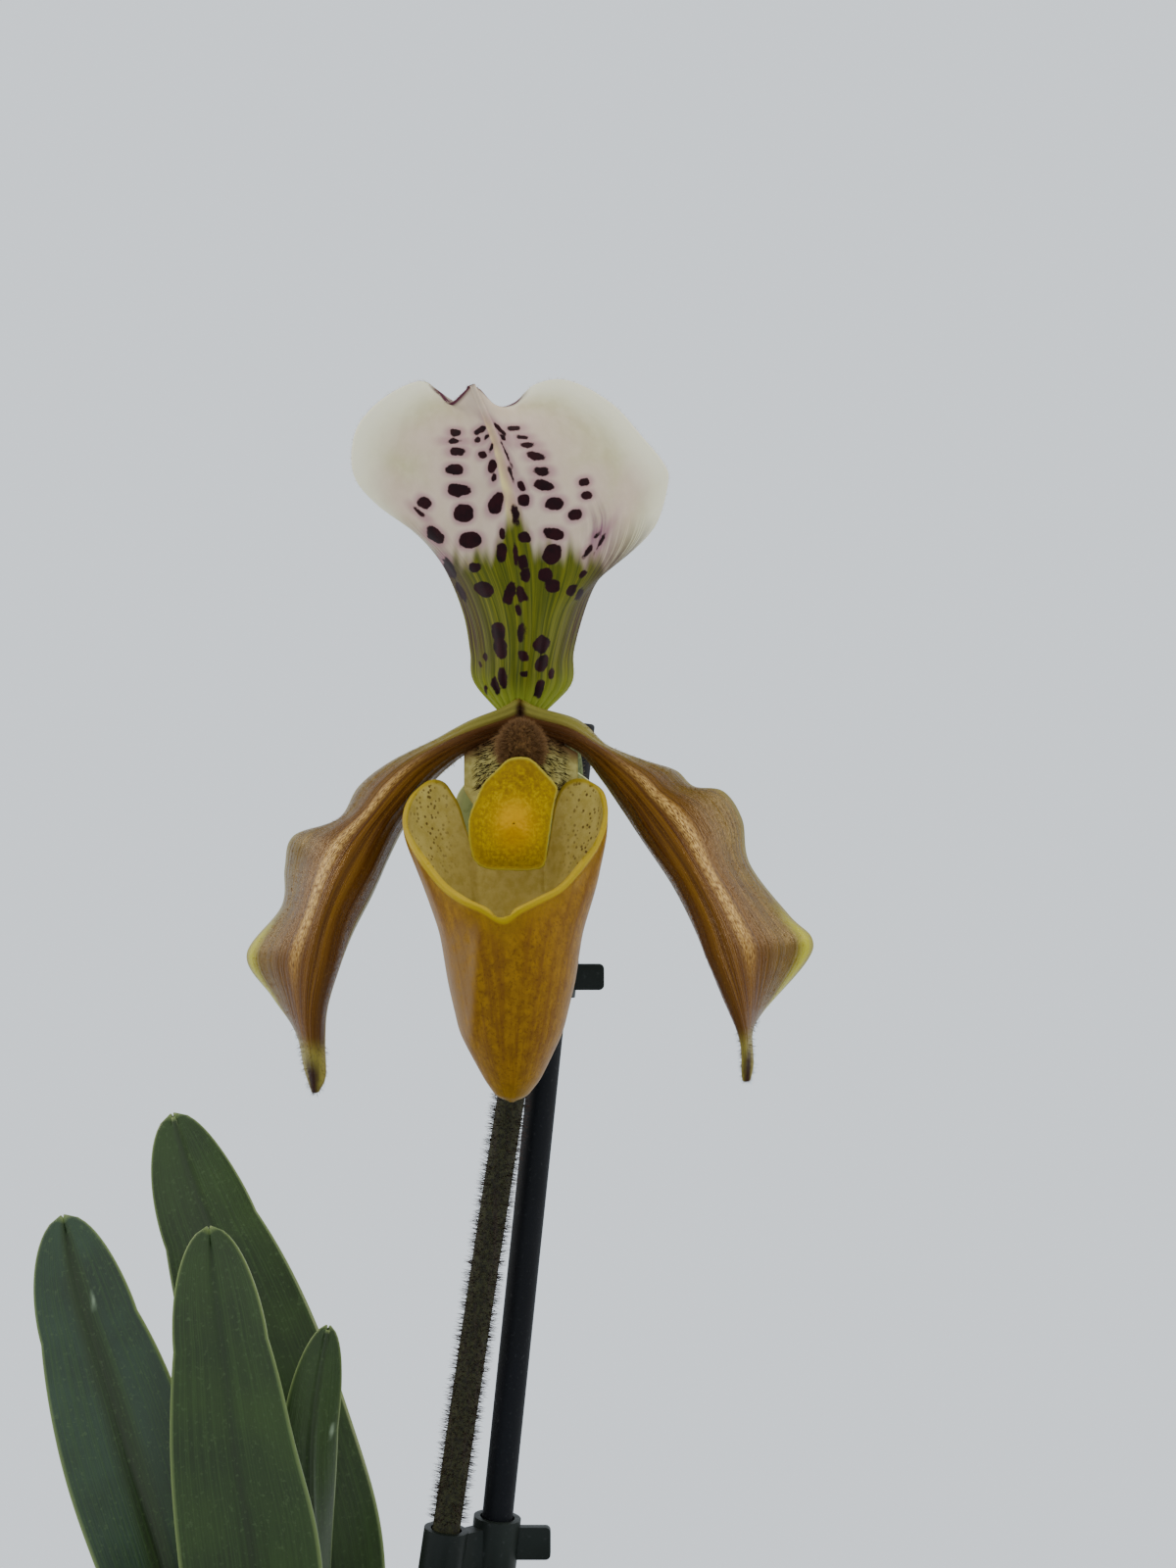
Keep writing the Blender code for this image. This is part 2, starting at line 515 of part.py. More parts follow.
def build_bark(group, tools):
    slope = (POT_TOP_RADIUS - POT_LIP_STEP - POT_BASE_RADIUS) / POT_HEIGHT
    inner_base = POT_BASE_RADIUS + slope * POT_FLOOR - POT_WALL - FIT_GAP
    inner_slope = (POT_TOP_RADIUS - POT_LIP_STEP - POT_WALL - FIT_GAP - inner_base)
    inner_slope /= POT_HEIGHT - 1.0 - POT_FLOOR
    low = POT_FLOOR + FIT_GAP
    edge = inner_base + inner_slope * (BARK_TOP - 1.5 - POT_FLOOR)
    profile = [(0.0, low), (inner_base, low), (edge, BARK_TOP - 1.5), (edge - 2.0, BARK_TOP),
               (0.0, BARK_TOP)]
    bark = make_turned("bark_medium", profile, 40, "bark", group)
    chips = make_collection("bark chips")
    draw = random.Random(SEED + 1)
    for index, (x, y) in enumerate(chip_places(CHIP_COUNT)):
        size = (draw.uniform(6.0, 8.8), draw.uniform(4.5, 6.2), draw.uniform(3.5, 5.5))
        turn = (Matrix.Rotation(draw.uniform(0.0, math.pi), 4, "Z")
                @ Matrix.Rotation(draw.uniform(-0.35, 0.35), 4, "X")
                @ Matrix.Rotation(draw.uniform(-0.35, 0.35), 4, "Y"))
        lift = draw.uniform(0.4, 2.0)
        matrix = Matrix.Translation((x, y, BARK_TOP + lift)) @ turn
        make_box("chip_%d" % index, size, matrix, "bark", chips)
    union = bark.modifiers.new("chips", "BOOLEAN")
    union.operation = "UNION"
    union.solver = "EXACT"
    union.operand_type = "COLLECTION"
    union.collection = chips
    apply_modifiers(bark)
    for chip in list(chips.objects):
        bpy.data.objects.remove(chip, do_unlink=True)
    bpy.data.collections.remove(chips)
    above = BARK_TOP + 12.0
    for name, place, radius in (("crown_a", CROWN_A, CROWN_A_RADIUS),
                                ("crown_b", CROWN_B, CROWN_B_RADIUS)):
        cut(bark, make_rod(name + "_hole", radius + FIT_GAP, (*place, CROWN_FOOT - FIT_GAP),
                           (*place, above), 24, "bark", tools))
    foot = stake_point(STAKE_FOOT - FIT_GAP)
    cut(bark, make_rod("stake_hole", STAKE_RADIUS + FIT_GAP, foot, stake_point(above), 20,
                       "bark", tools))


# Leaves


def build_crowns(group, tools):
    for name, place, radius in (("crown_flowering", CROWN_A, CROWN_A_RADIUS),
                                ("crown_young", CROWN_B, CROWN_B_RADIUS)):
        top = CROWN_TOP - CROWN_FOOT
        profile = [(0.0, 0.0), (radius - 0.8, 0.0), (radius, 0.8), (radius, top - 4.0),
                   (radius - 1.4, top - 1.0), (radius - 2.4, top), (0.0, top)]
        crown = make_turned(name, profile, 24, "crown_green", group, (*place, CROWN_FOOT))
        if place == CROWN_A:
            high = stem_point(CROWN_TOP + 3.0)
            low = stem_point(STEM_FOOT)
            low -= (high - low).normalized() * FIT_GAP
            cut(crown, make_rod("scape_hole", STEM_RADIUS + FIT_GAP + 0.2, low, high, 20,
                                "crown_green", tools))


def leaf_rows(stations, along, across):
    line = smooth_line(stations, along)
    rows = []
    for index, (x, y, z, half_width, channel, facing) in enumerate(line):
        ahead = Vector(line[min(index + 1, along)][:3] - line[max(index - 1, 0)][:3])
        axis = ahead.normalized()
        angle = math.radians(facing)
        side = Vector((math.cos(angle), math.sin(angle), 0.0))
        side = (side - axis * side.dot(axis)).normalized()
        face = axis.cross(side) * -1.0
        row = []
        for step in range(across + 1):
            u = -1.0 + 2.0 * step / across
            offset = side * (half_width * u) + face * (channel * abs(u) ** 1.4)
            row.append(Vector((x, y, z)) + offset)
        rows.append(row)
    return rows


def low_leaf_stations(heading, tip_heading, length, rise, droop):
    """A leaf that climbs out of the crown, bends over and hangs a little at its tip."""
    stations = []
    x = (CROWN_A_RADIUS + 0.8) * math.cos(math.radians(heading))
    y = (CROWN_A_RADIUS + 0.8) * math.sin(math.radians(heading))
    steps = 9
    for index in range(steps + 1):
        t = index / steps
        climb = rise * math.sin(min(t / 0.62, 1.0) * math.pi / 2.0) ** 0.8
        fall = droop * max(t - 0.62, 0.0) ** 1.5 / 0.38 ** 1.5
        width = LEAF_A_HALF_WIDTH * (0.31 + 0.69 * min(t / 0.4, 1.0) ** 1.3)
        if t > 0.72:
            width *= math.sqrt(max(1.0 - ((t - 0.72) / 0.285) ** 2, 0.0))
        turn = heading + (tip_heading - heading) * t
        stations.append((x, y, 3.0 + climb - fall, max(width, 1.2), 1.4 + 1.2 * t * (1.0 - t) * 4.0,
                         turn - 90.0))
        pace = length / steps * (0.35 + 0.65 * min(t / 0.35, 1.0)) * 1.2
        x += pace * math.cos(math.radians(turn))
        y += pace * math.sin(math.radians(turn))
    return stations


def build_leaves(group):
    for name, stations in LEAVES_B.items():
        mesh = surface_mesh(leaf_rows(stations, 18, 4))
        leaf = make_object(name, mesh, "leaf_green", group, (*CROWN_B, BARK_TOP))
        add_thickness(leaf, BLADE_THICKNESS)
    for name, shape in LEAVES_A.items():
        mesh = surface_mesh(leaf_rows(low_leaf_stations(*shape), 18, 4))
        leaf = make_object(name, mesh, "leaf_green", group, (*CROWN_A, BARK_TOP))
        add_thickness(leaf, BLADE_THICKNESS)


# Flower


def closed_line(points, count):
    """Evenly spaced points round a closed smooth line; the first is not repeated."""
    lap = list(points)
    extended = lap[-3:] + lap + lap[:4]
    fine = smooth_line(extended, 1200)
    start = int(np.argmin([np.linalg.norm(p - np.array(lap[0])) for p in fine[:400]]))
    end = 800 + int(np.argmin([np.linalg.norm(p - np.array(lap[0])) for p in fine[800:]]))
    return smooth_line(fine[start:end + 1:6], count)[:count]


def pouch_body_point(height, turn):
    """Place on the pouch's body at a height, turned from the front towards +X."""
    heights = [level[0] for level in POUCH_BODY]
    middle, half, front, back = [
        float(np.interp(height, heights, [level[k] for level in POUCH_BODY])) for k in range(1, 5)]
    depth_middle = (front + back) / 2.0
    depth = (back - front) / 2.0
    return np.array([middle + half * math.sin(turn), depth_middle - depth * math.cos(turn), height])


def pouch_rows(columns, levels):
    rim = closed_line(POUCH_RIM, columns)
    middle = np.array([-0.8, -11.0])
    turns = []
    for place in rim:
        sideways, forward = place[0] - middle[0], middle[1] - place[1]
        turns.append(math.atan2(sideways, forward) % (2.0 * math.pi))
    turns[0] = 0.0
    even = [2.0 * math.pi * index / columns for index in range(columns)]
    toe = POUCH_BODY[0][0]
    rows = []
    for level in range(levels + 1):
        t = math.sin(level / levels * math.pi / 2.0)
        share = 0.55 * min(t * 2.0, 1.0)
        row = []
        for index, place in enumerate(rim):
            turn = turns[index] * (1.0 - share) + even[index] * share
            height = place[2] + (toe - place[2]) * t
            point = pouch_body_point(height, turn)
            off = place - pouch_body_point(place[2], turns[index])
            row.append(point + off * (1.0 - t) ** 3)
        row.append(row[0])
        rows.append(row)
    rows[-1] = [np.array([POUCH_BODY[0][1], -19.0, toe - 0.2])] * (columns + 1)
    return rows


def build_pouch(group):
    mesh = surface_mesh(pouch_rows(44, 12))
    bmesh.ops.recalc_face_normals(mesh, faces=mesh.faces)
    pouch = make_object("pouch", mesh, "pouch_yellow", group, FLOWER)
    add_thickness(pouch, POUCH_THICKNESS)


def build_staminode(group):
    """A domed shield with a low boss, drawn in rings from its middle to its outline."""
    outline = [(x, 0.0, z) for x, z in STAMINODE_OUTLINE]
    edge = closed_line(outline, 20)
    centre = np.array([STAMINODE_MIDDLE[0], 0.0, STAMINODE_MIDDLE[1]])
    rows = []
    for reach in (0.0, 0.2, 0.45, 0.75, 1.0):
        dome = 1.4 * reach ** 2
        boss = -0.8 * math.exp(-(reach / 0.25) ** 2)
        row = []
        for place in edge:
            point = centre + (place - centre) * reach
            point[1] = STAMINODE_FRONT + dome + boss
            row.append(point)
        row.append(row[0])
        rows.append(row)
    mesh = surface_mesh(rows)
    item = make_object("staminode", mesh, "staminode_yellow", group, FLOWER)
    add_thickness(item, STAMINODE_THICKNESS)


def build_column(group):
    mesh = bmesh.new()
    bmesh.ops.create_uvsphere(mesh, u_segments=14, v_segments=8, radius=1.0)
    bmesh.ops.scale(mesh, vec=COLUMN_RADII, verts=mesh.verts)
    bmesh.ops.translate(mesh, vec=COLUMN_MIDDLE, verts=mesh.verts)
    make_object("column", mesh, "column_brown", group, FLOWER)


def build_bract(group):
    """A folded green sheath that stands round the foot of the ovary, open towards the stake."""
    line = smooth_line(OVARY_PATH, 200)
    rows = []
    steps = 9
    for step in range(steps + 1):
        t = step / steps
        height = BRACT_FOOT + BRACT_HEIGHT * t
        centre = [float(np.interp(height, line[:60, 2], line[:60, k])) for k in range(2)]
        opening = math.radians(118.0 * (1.0 - 0.82 * t ** 1.6))
        radius = BRACT_RADIUS + 1.0 * t
        row = []
        for index in range(9):
            turn = math.radians(215.0) + opening * (-1.0 + index / 4.0)
            row.append((centre[0] + radius * math.cos(turn), centre[1] + radius * math.sin(turn),
                        height))
        rows.append(row)
    mesh = surface_mesh(rows)
    item = make_object("bract", mesh, "bract_green", group)
    add_thickness(item, 0.6)


def build_flower(group):
    make_tube("ovary", OVARY_PATH, 12, 14, "ovary_green", group)
    build_bract(group)
    make_blade("dorsal_sepal", DORSAL_LEFT, DORSAL_MIDDLE, DORSAL_RIGHT, 26, 12,
               "dorsal_white", group, 1.6)
    make_blade("petal_left", PETAL_LEFT_UPPER, PETAL_LEFT_MIDDLE, PETAL_LEFT_LOWER, 28, 6,
               "petal_brown", group)
    make_blade("petal_right", PETAL_RIGHT_UPPER, PETAL_RIGHT_MIDDLE, PETAL_RIGHT_LOWER, 28, 6,
               "petal_brown", group)
    make_blade("synsepal", SYNSEPAL_LEFT, SYNSEPAL_MIDDLE, SYNSEPAL_RIGHT, 12, 6,
               "synsepal_green", group)
    build_pouch(group)
    build_column(group)
    build_staminode(group)


def main():
    clear_scene()
    group = make_collection("paphiopedilum orchid")
    tools = make_collection("cutters")
    build_pot(group, tools)
    build_bark(group, tools)
    build_crowns(group, tools)
    build_leaves(group)
    build_stem_and_stake(group)
    for name in CLIPS:
        build_clip(name, group, tools)
    build_flower(group)


main()
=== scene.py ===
import math
import random

import bmesh
import bpy
import numpy as np
from mathutils import Matrix, Vector, noise


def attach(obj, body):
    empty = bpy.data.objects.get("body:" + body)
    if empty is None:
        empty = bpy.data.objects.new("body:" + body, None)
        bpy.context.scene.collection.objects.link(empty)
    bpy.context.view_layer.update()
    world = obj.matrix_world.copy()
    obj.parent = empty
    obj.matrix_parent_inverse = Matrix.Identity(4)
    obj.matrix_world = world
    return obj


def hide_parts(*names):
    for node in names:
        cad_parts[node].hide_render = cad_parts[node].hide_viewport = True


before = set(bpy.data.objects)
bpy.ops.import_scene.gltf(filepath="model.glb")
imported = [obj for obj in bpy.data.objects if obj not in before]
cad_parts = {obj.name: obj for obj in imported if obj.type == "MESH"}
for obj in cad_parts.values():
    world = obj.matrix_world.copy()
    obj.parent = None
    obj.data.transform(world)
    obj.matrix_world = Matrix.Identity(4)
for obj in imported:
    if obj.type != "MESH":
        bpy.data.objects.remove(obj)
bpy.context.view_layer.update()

MM = 0.001
SHORT_EDGE = 0.02 * MM
SEED = 7

# Camera: where the photograph was taken from, in millimetres
CAMERA = (28.0, -360.0, 290.0)
LENS_MM = 54.0
FLOWER_DEPTH = 340.0

# Flower: outlines are measured in millimetres from where the petals meet
FLOWER = np.array([18.0, -20.0, 298.0])
DORSAL_LEFT = [
    (-2.6, 3.6, 2.2), (-6.7, 5.5, 7.1), (-7.3, 7.5, 11.6), (-8.3, 8.0, 17.1), (-10.5, 7.0, 22.8),
    (-12.9, 6.0, 26.5), (-16.2, 5.0, 29.7), (-20.5, 4.0, 32.7), (-23.7, 3.0, 36.3),
    (-24.3, 2.0, 40.2), (-23.0, 1.0, 44.4), (-19.1, -1.0, 47.8), (-14.2, -4.0, 49.5),
    (-11.6, -7.5, 47.8), (-9.4, -11.5, 45.2), (-6.6, -15.5, 46.6),
]
DORSAL_MIDDLE = [
    (0.3, 1.8, 2.2), (0.7, -0.6, 7.5), (1.2, -3.0, 13.1), (1.1, -5.0, 19.9), (0.3, -7.0, 26.7),
    (-1.0, -9.0, 33.4), (-2.8, -12.0, 39.8), (-5.9, -16.0, 46.9),
]
DORSAL_RIGHT = [
    (3.4, 3.6, 2.2), (7.5, 5.5, 6.7), (7.8, 7.5, 11.6), (9.3, 8.0, 17.4), (11.0, 7.0, 21.5),
    (13.0, 6.0, 23.7), (16.8, 5.0, 26.6), (20.0, 4.0, 30.3), (21.6, 3.0, 36.0),
    (21.0, 2.0, 38.5), (17.7, 1.0, 42.4), (13.3, 0.0, 47.0), (7.2, -2.0, 49.9),
    (2.6, -4.5, 49.0), (-0.3, -8.0, 45.8), (-2.8, -12.0, 44.6), (-5.2, -15.5, 46.6),
]
# Dark spots on the dorsal sepal: place on the flower's plane seen from the front, measured from
# the camera's axis, then length, width and turn in degrees
SPOTS = [
    (-18.9, 50.8, 1.7, 1.0, 0), (-19.0, 49.6, 2.2, 0.7, 0), (-18.6, 48.1, 2.3, 1.2, 0),
    (-19.0, 45.5, 2.4, 1.5, 0), (-18.5, 42.5, 3.1, 1.9, 0), (-17.8, 39.2, 2.8, 2.7, 0),
    (-16.8, 35.3, 3.2, 2.3, 0), (-16.1, 31.5, 1.7, 1.3, 0), (-14.7, 28.3, 3.0, 2.0, -35),
    (-23.5, 40.7, 2.0, 1.5, -30), (-24.0, 39.2, 1.7, 0.5, -40), (-21.9, 36.2, 2.7, 1.7, -40),
    (-19.8, 31.3, 3.2, 1.3, -60), (-18.2, 28.0, 2.8, 1.0, -58), (-15.4, 51.3, 1.5, 0.9, 30),
    (-15.7, 49.8, 1.2, 0.8, 30), (-15.1, 47.7, 1.3, 1.1, 20), (-14.6, 50.2, 1.3, 0.5, 50),
    (-13.8, 48.6, 1.5, 0.7, 70), (-13.7, 46.0, 2.0, 1.2, 75), (-13.5, 44.4, 1.3, 0.7, 80),
    (-13.2, 40.6, 3.2, 2.0, 65), (-12.2, 36.2, 1.7, 0.8, -90), (-12.4, 33.6, 2.8, 1.5, -90),
    (-11.2, 27.6, 3.3, 1.5, 75), (-12.7, 22.1, 2.7, 2.0, -80), (-12.3, 19.6, 3.0, 1.9, -75),
    (-12.0, 15.3, 2.8, 1.4, -85), (-13.1, 14.4, 2.5, 1.1, -75), (-14.6, 18.3, 1.2, 0.7, -70),
    (-15.3, 17.1, 1.0, 0.4, -80), (-14.6, 13.9, 1.0, 0.4, -80), (-12.1, 47.9, 3.0, 0.4, -65),
    (-11.3, 44.6, 2.7, 0.5, -70), (-10.5, 39.2, 3.0, 0.7, -80), (-10.3, 33.5, 3.3, 0.7, -88),
    (-9.4, 32.2, 1.7, 0.9, -85), (-9.1, 30.2, 1.8, 1.1, -88), (-9.5, 27.6, 2.3, 1.1, -75),
    (-9.8, 25.1, 1.5, 0.9, -80), (-9.5, 22.0, 2.5, 1.1, -88), (-9.3, 18.6, 1.7, 0.9, -75),
    (-9.2, 16.0, 0.9, 0.8, 0), (-12.9, 51.2, 2.0, 0.4, -45), (-12.6, 50.2, 1.5, 0.4, -45),
    (-9.8, 43.1, 1.6, 1.1, -60), (-9.4, 41.0, 1.9, 1.7, 0), (-9.2, 35.7, 1.7, 1.5, 0),
    (-11.1, 51.3, 1.5, 0.5, 0), (-9.7, 50.0, 1.7, 0.7, -5), (-9.0, 49.0, 2.1, 0.7, -5),
    (-7.7, 47.4, 2.5, 1.3, -5), (-6.8, 45.2, 2.5, 1.3, -5), (-6.5, 43.2, 2.7, 1.4, -15),
    (-5.0, 40.6, 2.7, 1.8, 5), (-5.1, 36.2, 2.8, 1.7, -5), (-5.3, 33.3, 3.0, 2.5, 60),
    (-6.3, 30.3, 2.1, 1.9, 0), (-5.3, 28.7, 2.2, 2.0, 0), (-6.9, 20.3, 2.5, 2.0, 75),
    (-7.0, 17.5, 2.5, 1.7, 65), (-7.3, 13.8, 2.5, 1.2, 75), (-0.7, 43.6, 1.5, 1.1, 10),
    (-0.4, 41.7, 1.4, 1.0, 10), (-2.0, 38.9, 2.0, 1.4, 25), (1.0, 36.0, 1.2, 0.5, 50),
    (-0.1, 33.8, 2.5, 0.8, 50), (1.3, 34.5, 2.3, 0.3, 60), (-0.9, 30.4, 1.3, 0.7, 45),
    (-2.6, 28.3, 1.7, 1.1, 60), (-1.6, 27.5, 1.7, 0.7, 60), (-5.5, 16.0, 1.3, 0.8, 75),
]

PETAL_LEFT_UPPER = [
    (-0.7, 1.4, 1.6), (-6.9, -0.6, 0.8), (-12.7, 0.0, -1.9), (-18.8, 1.0, -4.9), (-23.3, 2.0, -8.4),
    (-26.1, 0.0, -13.1), (-32.9, 3.0, -15.6), (-34.4, 5.0, -20.2), (-34.5, 2.0, -25.8),
    (-39.7, 3.0, -32.9), (-35.6, 0.0, -38.7), (-31.8, -3.0, -43.4), (-30.3, -5.0, -48.5),
    (-29.0, -6.4, -51.4),
]
PETAL_LEFT_MIDDLE = [
    (-0.9, 1.3, 0.6), (-8.2, -2.2, -2.0), (-14.4, -3.4, -5.9), (-19.7, -6.0, -12.1),
    (-24.2, -9.0, -19.0), (-27.1, -10.0, -25.9), (-29.0, -10.0, -33.4), (-29.6, -9.0, -40.4),
    (-28.9, -8.0, -47.4), (-28.6, -7.0, -51.6),
]
PETAL_LEFT_LOWER = [
    (-1.2, 1.4, -0.6), (-7.2, 1.5, -3.1), (-12.7, 2.5, -7.7), (-16.4, 1.0, -13.6),
    (-18.6, -2.0, -18.3), (-20.8, -4.0, -23.6), (-23.5, -6.0, -29.2), (-25.5, -7.0, -34.6),
    (-27.0, -7.0, -39.9), (-27.3, -7.0, -44.8), (-27.2, -7.0, -49.3), (-28.1, -7.0, -51.4),
]
PETAL_RIGHT_UPPER = [
    (1.1, 1.4, 1.6), (8.3, 0.0, 1.2), (13.1, 1.0, -2.7), (18.5, 1.0, -4.7), (22.8, 2.0, -6.1),
    (25.3, 0.0, -8.4), (29.7, 3.0, -9.1), (32.5, 4.0, -13.2), (33.5, 2.0, -19.7),
    (39.3, 3.0, -27.2), (42.7, 4.0, -30.6), (41.7, 3.0, -34.0), (35.3, -1.0, -40.6),
    (33.4, -4.0, -43.0), (33.4, -6.0, -47.7), (32.9, -6.5, -49.8),
]
PETAL_RIGHT_MIDDLE = [
    (1.3, 1.3, 0.6), (8.6, -2.2, -1.7), (14.9, -3.6, -6.6), (20.4, -6.4, -13.3),
    (24.9, -9.0, -20.4), (28.6, -10.0, -27.9), (30.9, -10.0, -35.5), (32.1, -9.0, -42.5),
    (32.4, -7.0, -50.0),
]
PETAL_RIGHT_LOWER = [
    (1.6, 1.4, -0.6), (8.3, 1.5, -2.9), (12.1, 2.5, -7.3), (16.8, 0.0, -14.3),
    (22.1, -4.0, -22.3), (26.4, -7.0, -30.9), (29.1, -8.0, -37.9), (31.6, -8.0, -44.2),
    (31.9, -7.0, -49.8),
]
SYNSEPAL_LEFT = [
    (-1.8, 4.4, -3.3), (-8.9, 6.5, -9.0), (-9.4, 8.0, -15.2), (-8.2, 9.0, -22.5),
    (-4.5, 8.0, -31.0), (-0.4, 6.0, -37.2),
]
SYNSEPAL_MIDDLE = [
    (0.8, 5.2, -3.5), (0.8, 9.5, -11.0), (1.2, 11.0, -18.0), (1.4, 11.0, -26.0),
    (1.0, 9.0, -33.0), (0.4, 6.0, -37.8),
]
SYNSEPAL_RIGHT = [
    (3.2, 4.4, -3.3), (11.2, 6.5, -8.6), (12.3, 8.0, -15.2), (10.8, 9.0, -24.5),
    (6.2, 8.0, -32.0), (1.2, 6.0, -37.2),
]

# Pouch: the rim from the front notch round by the right ear, the back and the left ear
POUCH_RIM = [
    (-0.8, -26.2, -25.9), (0.6, -26.0, -24.7), (3.3, -24.4, -23.4), (6.5, -21.6, -21.8),
    (9.2, -18.0, -18.9), (11.4, -14.0, -15.9), (12.4, -11.0, -12.9), (12.3, -7.0, -10.2),
    (11.5, -4.4, -8.4), (9.4, -2.4, -7.3), (7.3, -1.2, -7.7), (5.9, -0.8, -9.4),
    (5.2, -0.6, -12.6), (4.8, -0.6, -15.6), (4.2, -0.4, -18.4), (3.0, 0.0, -17.0),
    (2.4, 0.4, -11.0), (1.9, 0.6, -6.6), (0.0, 0.8, -5.7), (-1.9, 0.6, -6.6),
    (-3.0, 0.4, -11.0), (-4.6, 0.0, -17.0), (-6.2, -0.4, -18.6), (-7.3, -0.6, -16.2),
    (-8.0, -0.6, -13.8), (-8.7, -0.8, -11.3), (-9.6, -1.2, -9.4), (-10.8, -1.4, -7.9),
    (-12.5, -3.0, -7.4), (-14.4, -5.0, -8.8), (-15.5, -8.0, -11.0), (-15.6, -11.0, -13.6),
    (-14.4, -15.0, -16.0), (-12.4, -18.2, -18.6), (-9.9, -21.2, -21.4), (-7.0, -24.2, -23.3),
    (-4.0, -25.8, -24.5), (-2.2, -26.2, -25.7),
]
# Levels of the pouch's body: height, middle, half width, front, back
POUCH_BODY = [
    (-51.0, -0.4, 0.2, -19.2, -18.8), (-50.3, -0.4, 1.9, -21.4, -16.6),
    (-48.2, -0.3, 3.5, -23.4, -14.0), (-45.0, -0.4, 5.2, -25.2, -11.0),
    (-41.8, -0.5, 6.8, -26.4, -8.8), (-35.1, -0.5, 8.4, -27.4, -5.6),
    (-28.4, -0.6, 9.4, -27.0, -3.6), (-22.3, -0.8, 11.4, -25.4, -2.4),
    (-15.0, -1.6, 13.6, -21.5, -1.6), (-6.0, -1.6, 13.4, -17.0, -0.8),
]
STAMINODE_OUTLINE = [
    (-0.9, -4.5), (-2.6, -6.0), (-4.4, -7.8), (-5.4, -9.8), (-6.5, -12.6), (-6.6, -15.0),
    (-6.2, -17.6), (-5.6, -18.9), (-4.0, -19.8), (-1.0, -20.0), (2.0, -20.0), (3.6, -19.6),
    (4.1, -18.6), (4.6, -15.0), (5.2, -11.0), (5.7, -8.8), (5.4, -8.0), (3.6, -6.0), (1.7, -4.4),
]
STAMINODE_MIDDLE = (-0.3, -13.4)
STAMINODE_FRONT = -13.6
COLUMN_MIDDLE = (0.5, -5.0, -3.0)
COLUMN_RADII = (2.5, 6.9, 3.8)
OVARY_PATH = [
    (19.6, 0.0, 263.9, 2.3), (22.0, -0.2, 274.0, 2.4), (24.2, -0.6, 284.0, 2.3),
    (24.9, -2.6, 292.0, 2.2), (23.6, -7.0, 297.0, 2.2), (20.8, -11.4, 298.2, 2.3),
    (18.5, -15.2, 297.6, 2.5), (18.2, -17.6, 297.2, 2.5),
]
BRACT_FOOT = 265.6
BRACT_HEIGHT = 26.0
BRACT_RADIUS = 3.3

# Stem, stake, clips, pot and bark
STEM_RADIUS = 2.1
STEM_PATH = [
    (-8.2, 0.0, 76.0), (-5.8, 0.0, 93.0), (-0.7, 0.0, 128.0), (6.6, 0.0, 178.0),
    (11.6, 0.0, 212.0), (16.2, 0.0, 242.0), (19.6, 0.0, 264.0),
]
STAKE_RADIUS = 2.4
STAKE_TOP = (26.7, 6.0, 299.5)
STAKE_LEAN = 0.1036
STAKE_FOOT = 15.0
CLIP_WALL = 1.0
FIT_GAP = 0.3
# Clips: height, height of the rings, then length and height of the tab
CLIPS = {
    "clip_lower": (172.0, 8.0, 6.0, 5.0),
    "clip_upper": (260.0, 5.6, 5.2, 4.0),
}
POT_HEIGHT = 105.0
POT_TOP_RADIUS = 60.0
POT_BASE_RADIUS = 44.0
POT_WALL = 2.0
POT_FLOOR = 3.0
POT_LIP_HEIGHT = 9.0
POT_LIP_STEP = 2.0
POT_INNER_TOP = POT_TOP_RADIUS - POT_LIP_STEP - POT_WALL
POT_SLOPE = (POT_TOP_RADIUS - POT_LIP_STEP - POT_BASE_RADIUS) / POT_HEIGHT
POT_INNER_BASE = POT_BASE_RADIUS + POT_SLOPE * POT_FLOOR - POT_WALL
DRAIN_RADIUS = 4.5
DRAIN_RING = 27.0
DRAIN_COUNT = 4
BARK_TOP = 93.0
CROWN_A = (-6.0, 0.0)
CROWN_A_RADIUS = 6.0
CROWN_B = (-19.0, 9.0)
CROWN_B_RADIUS = 5.6
CROWN_FOOT = 74.0
CROWN_TOP = 99.0

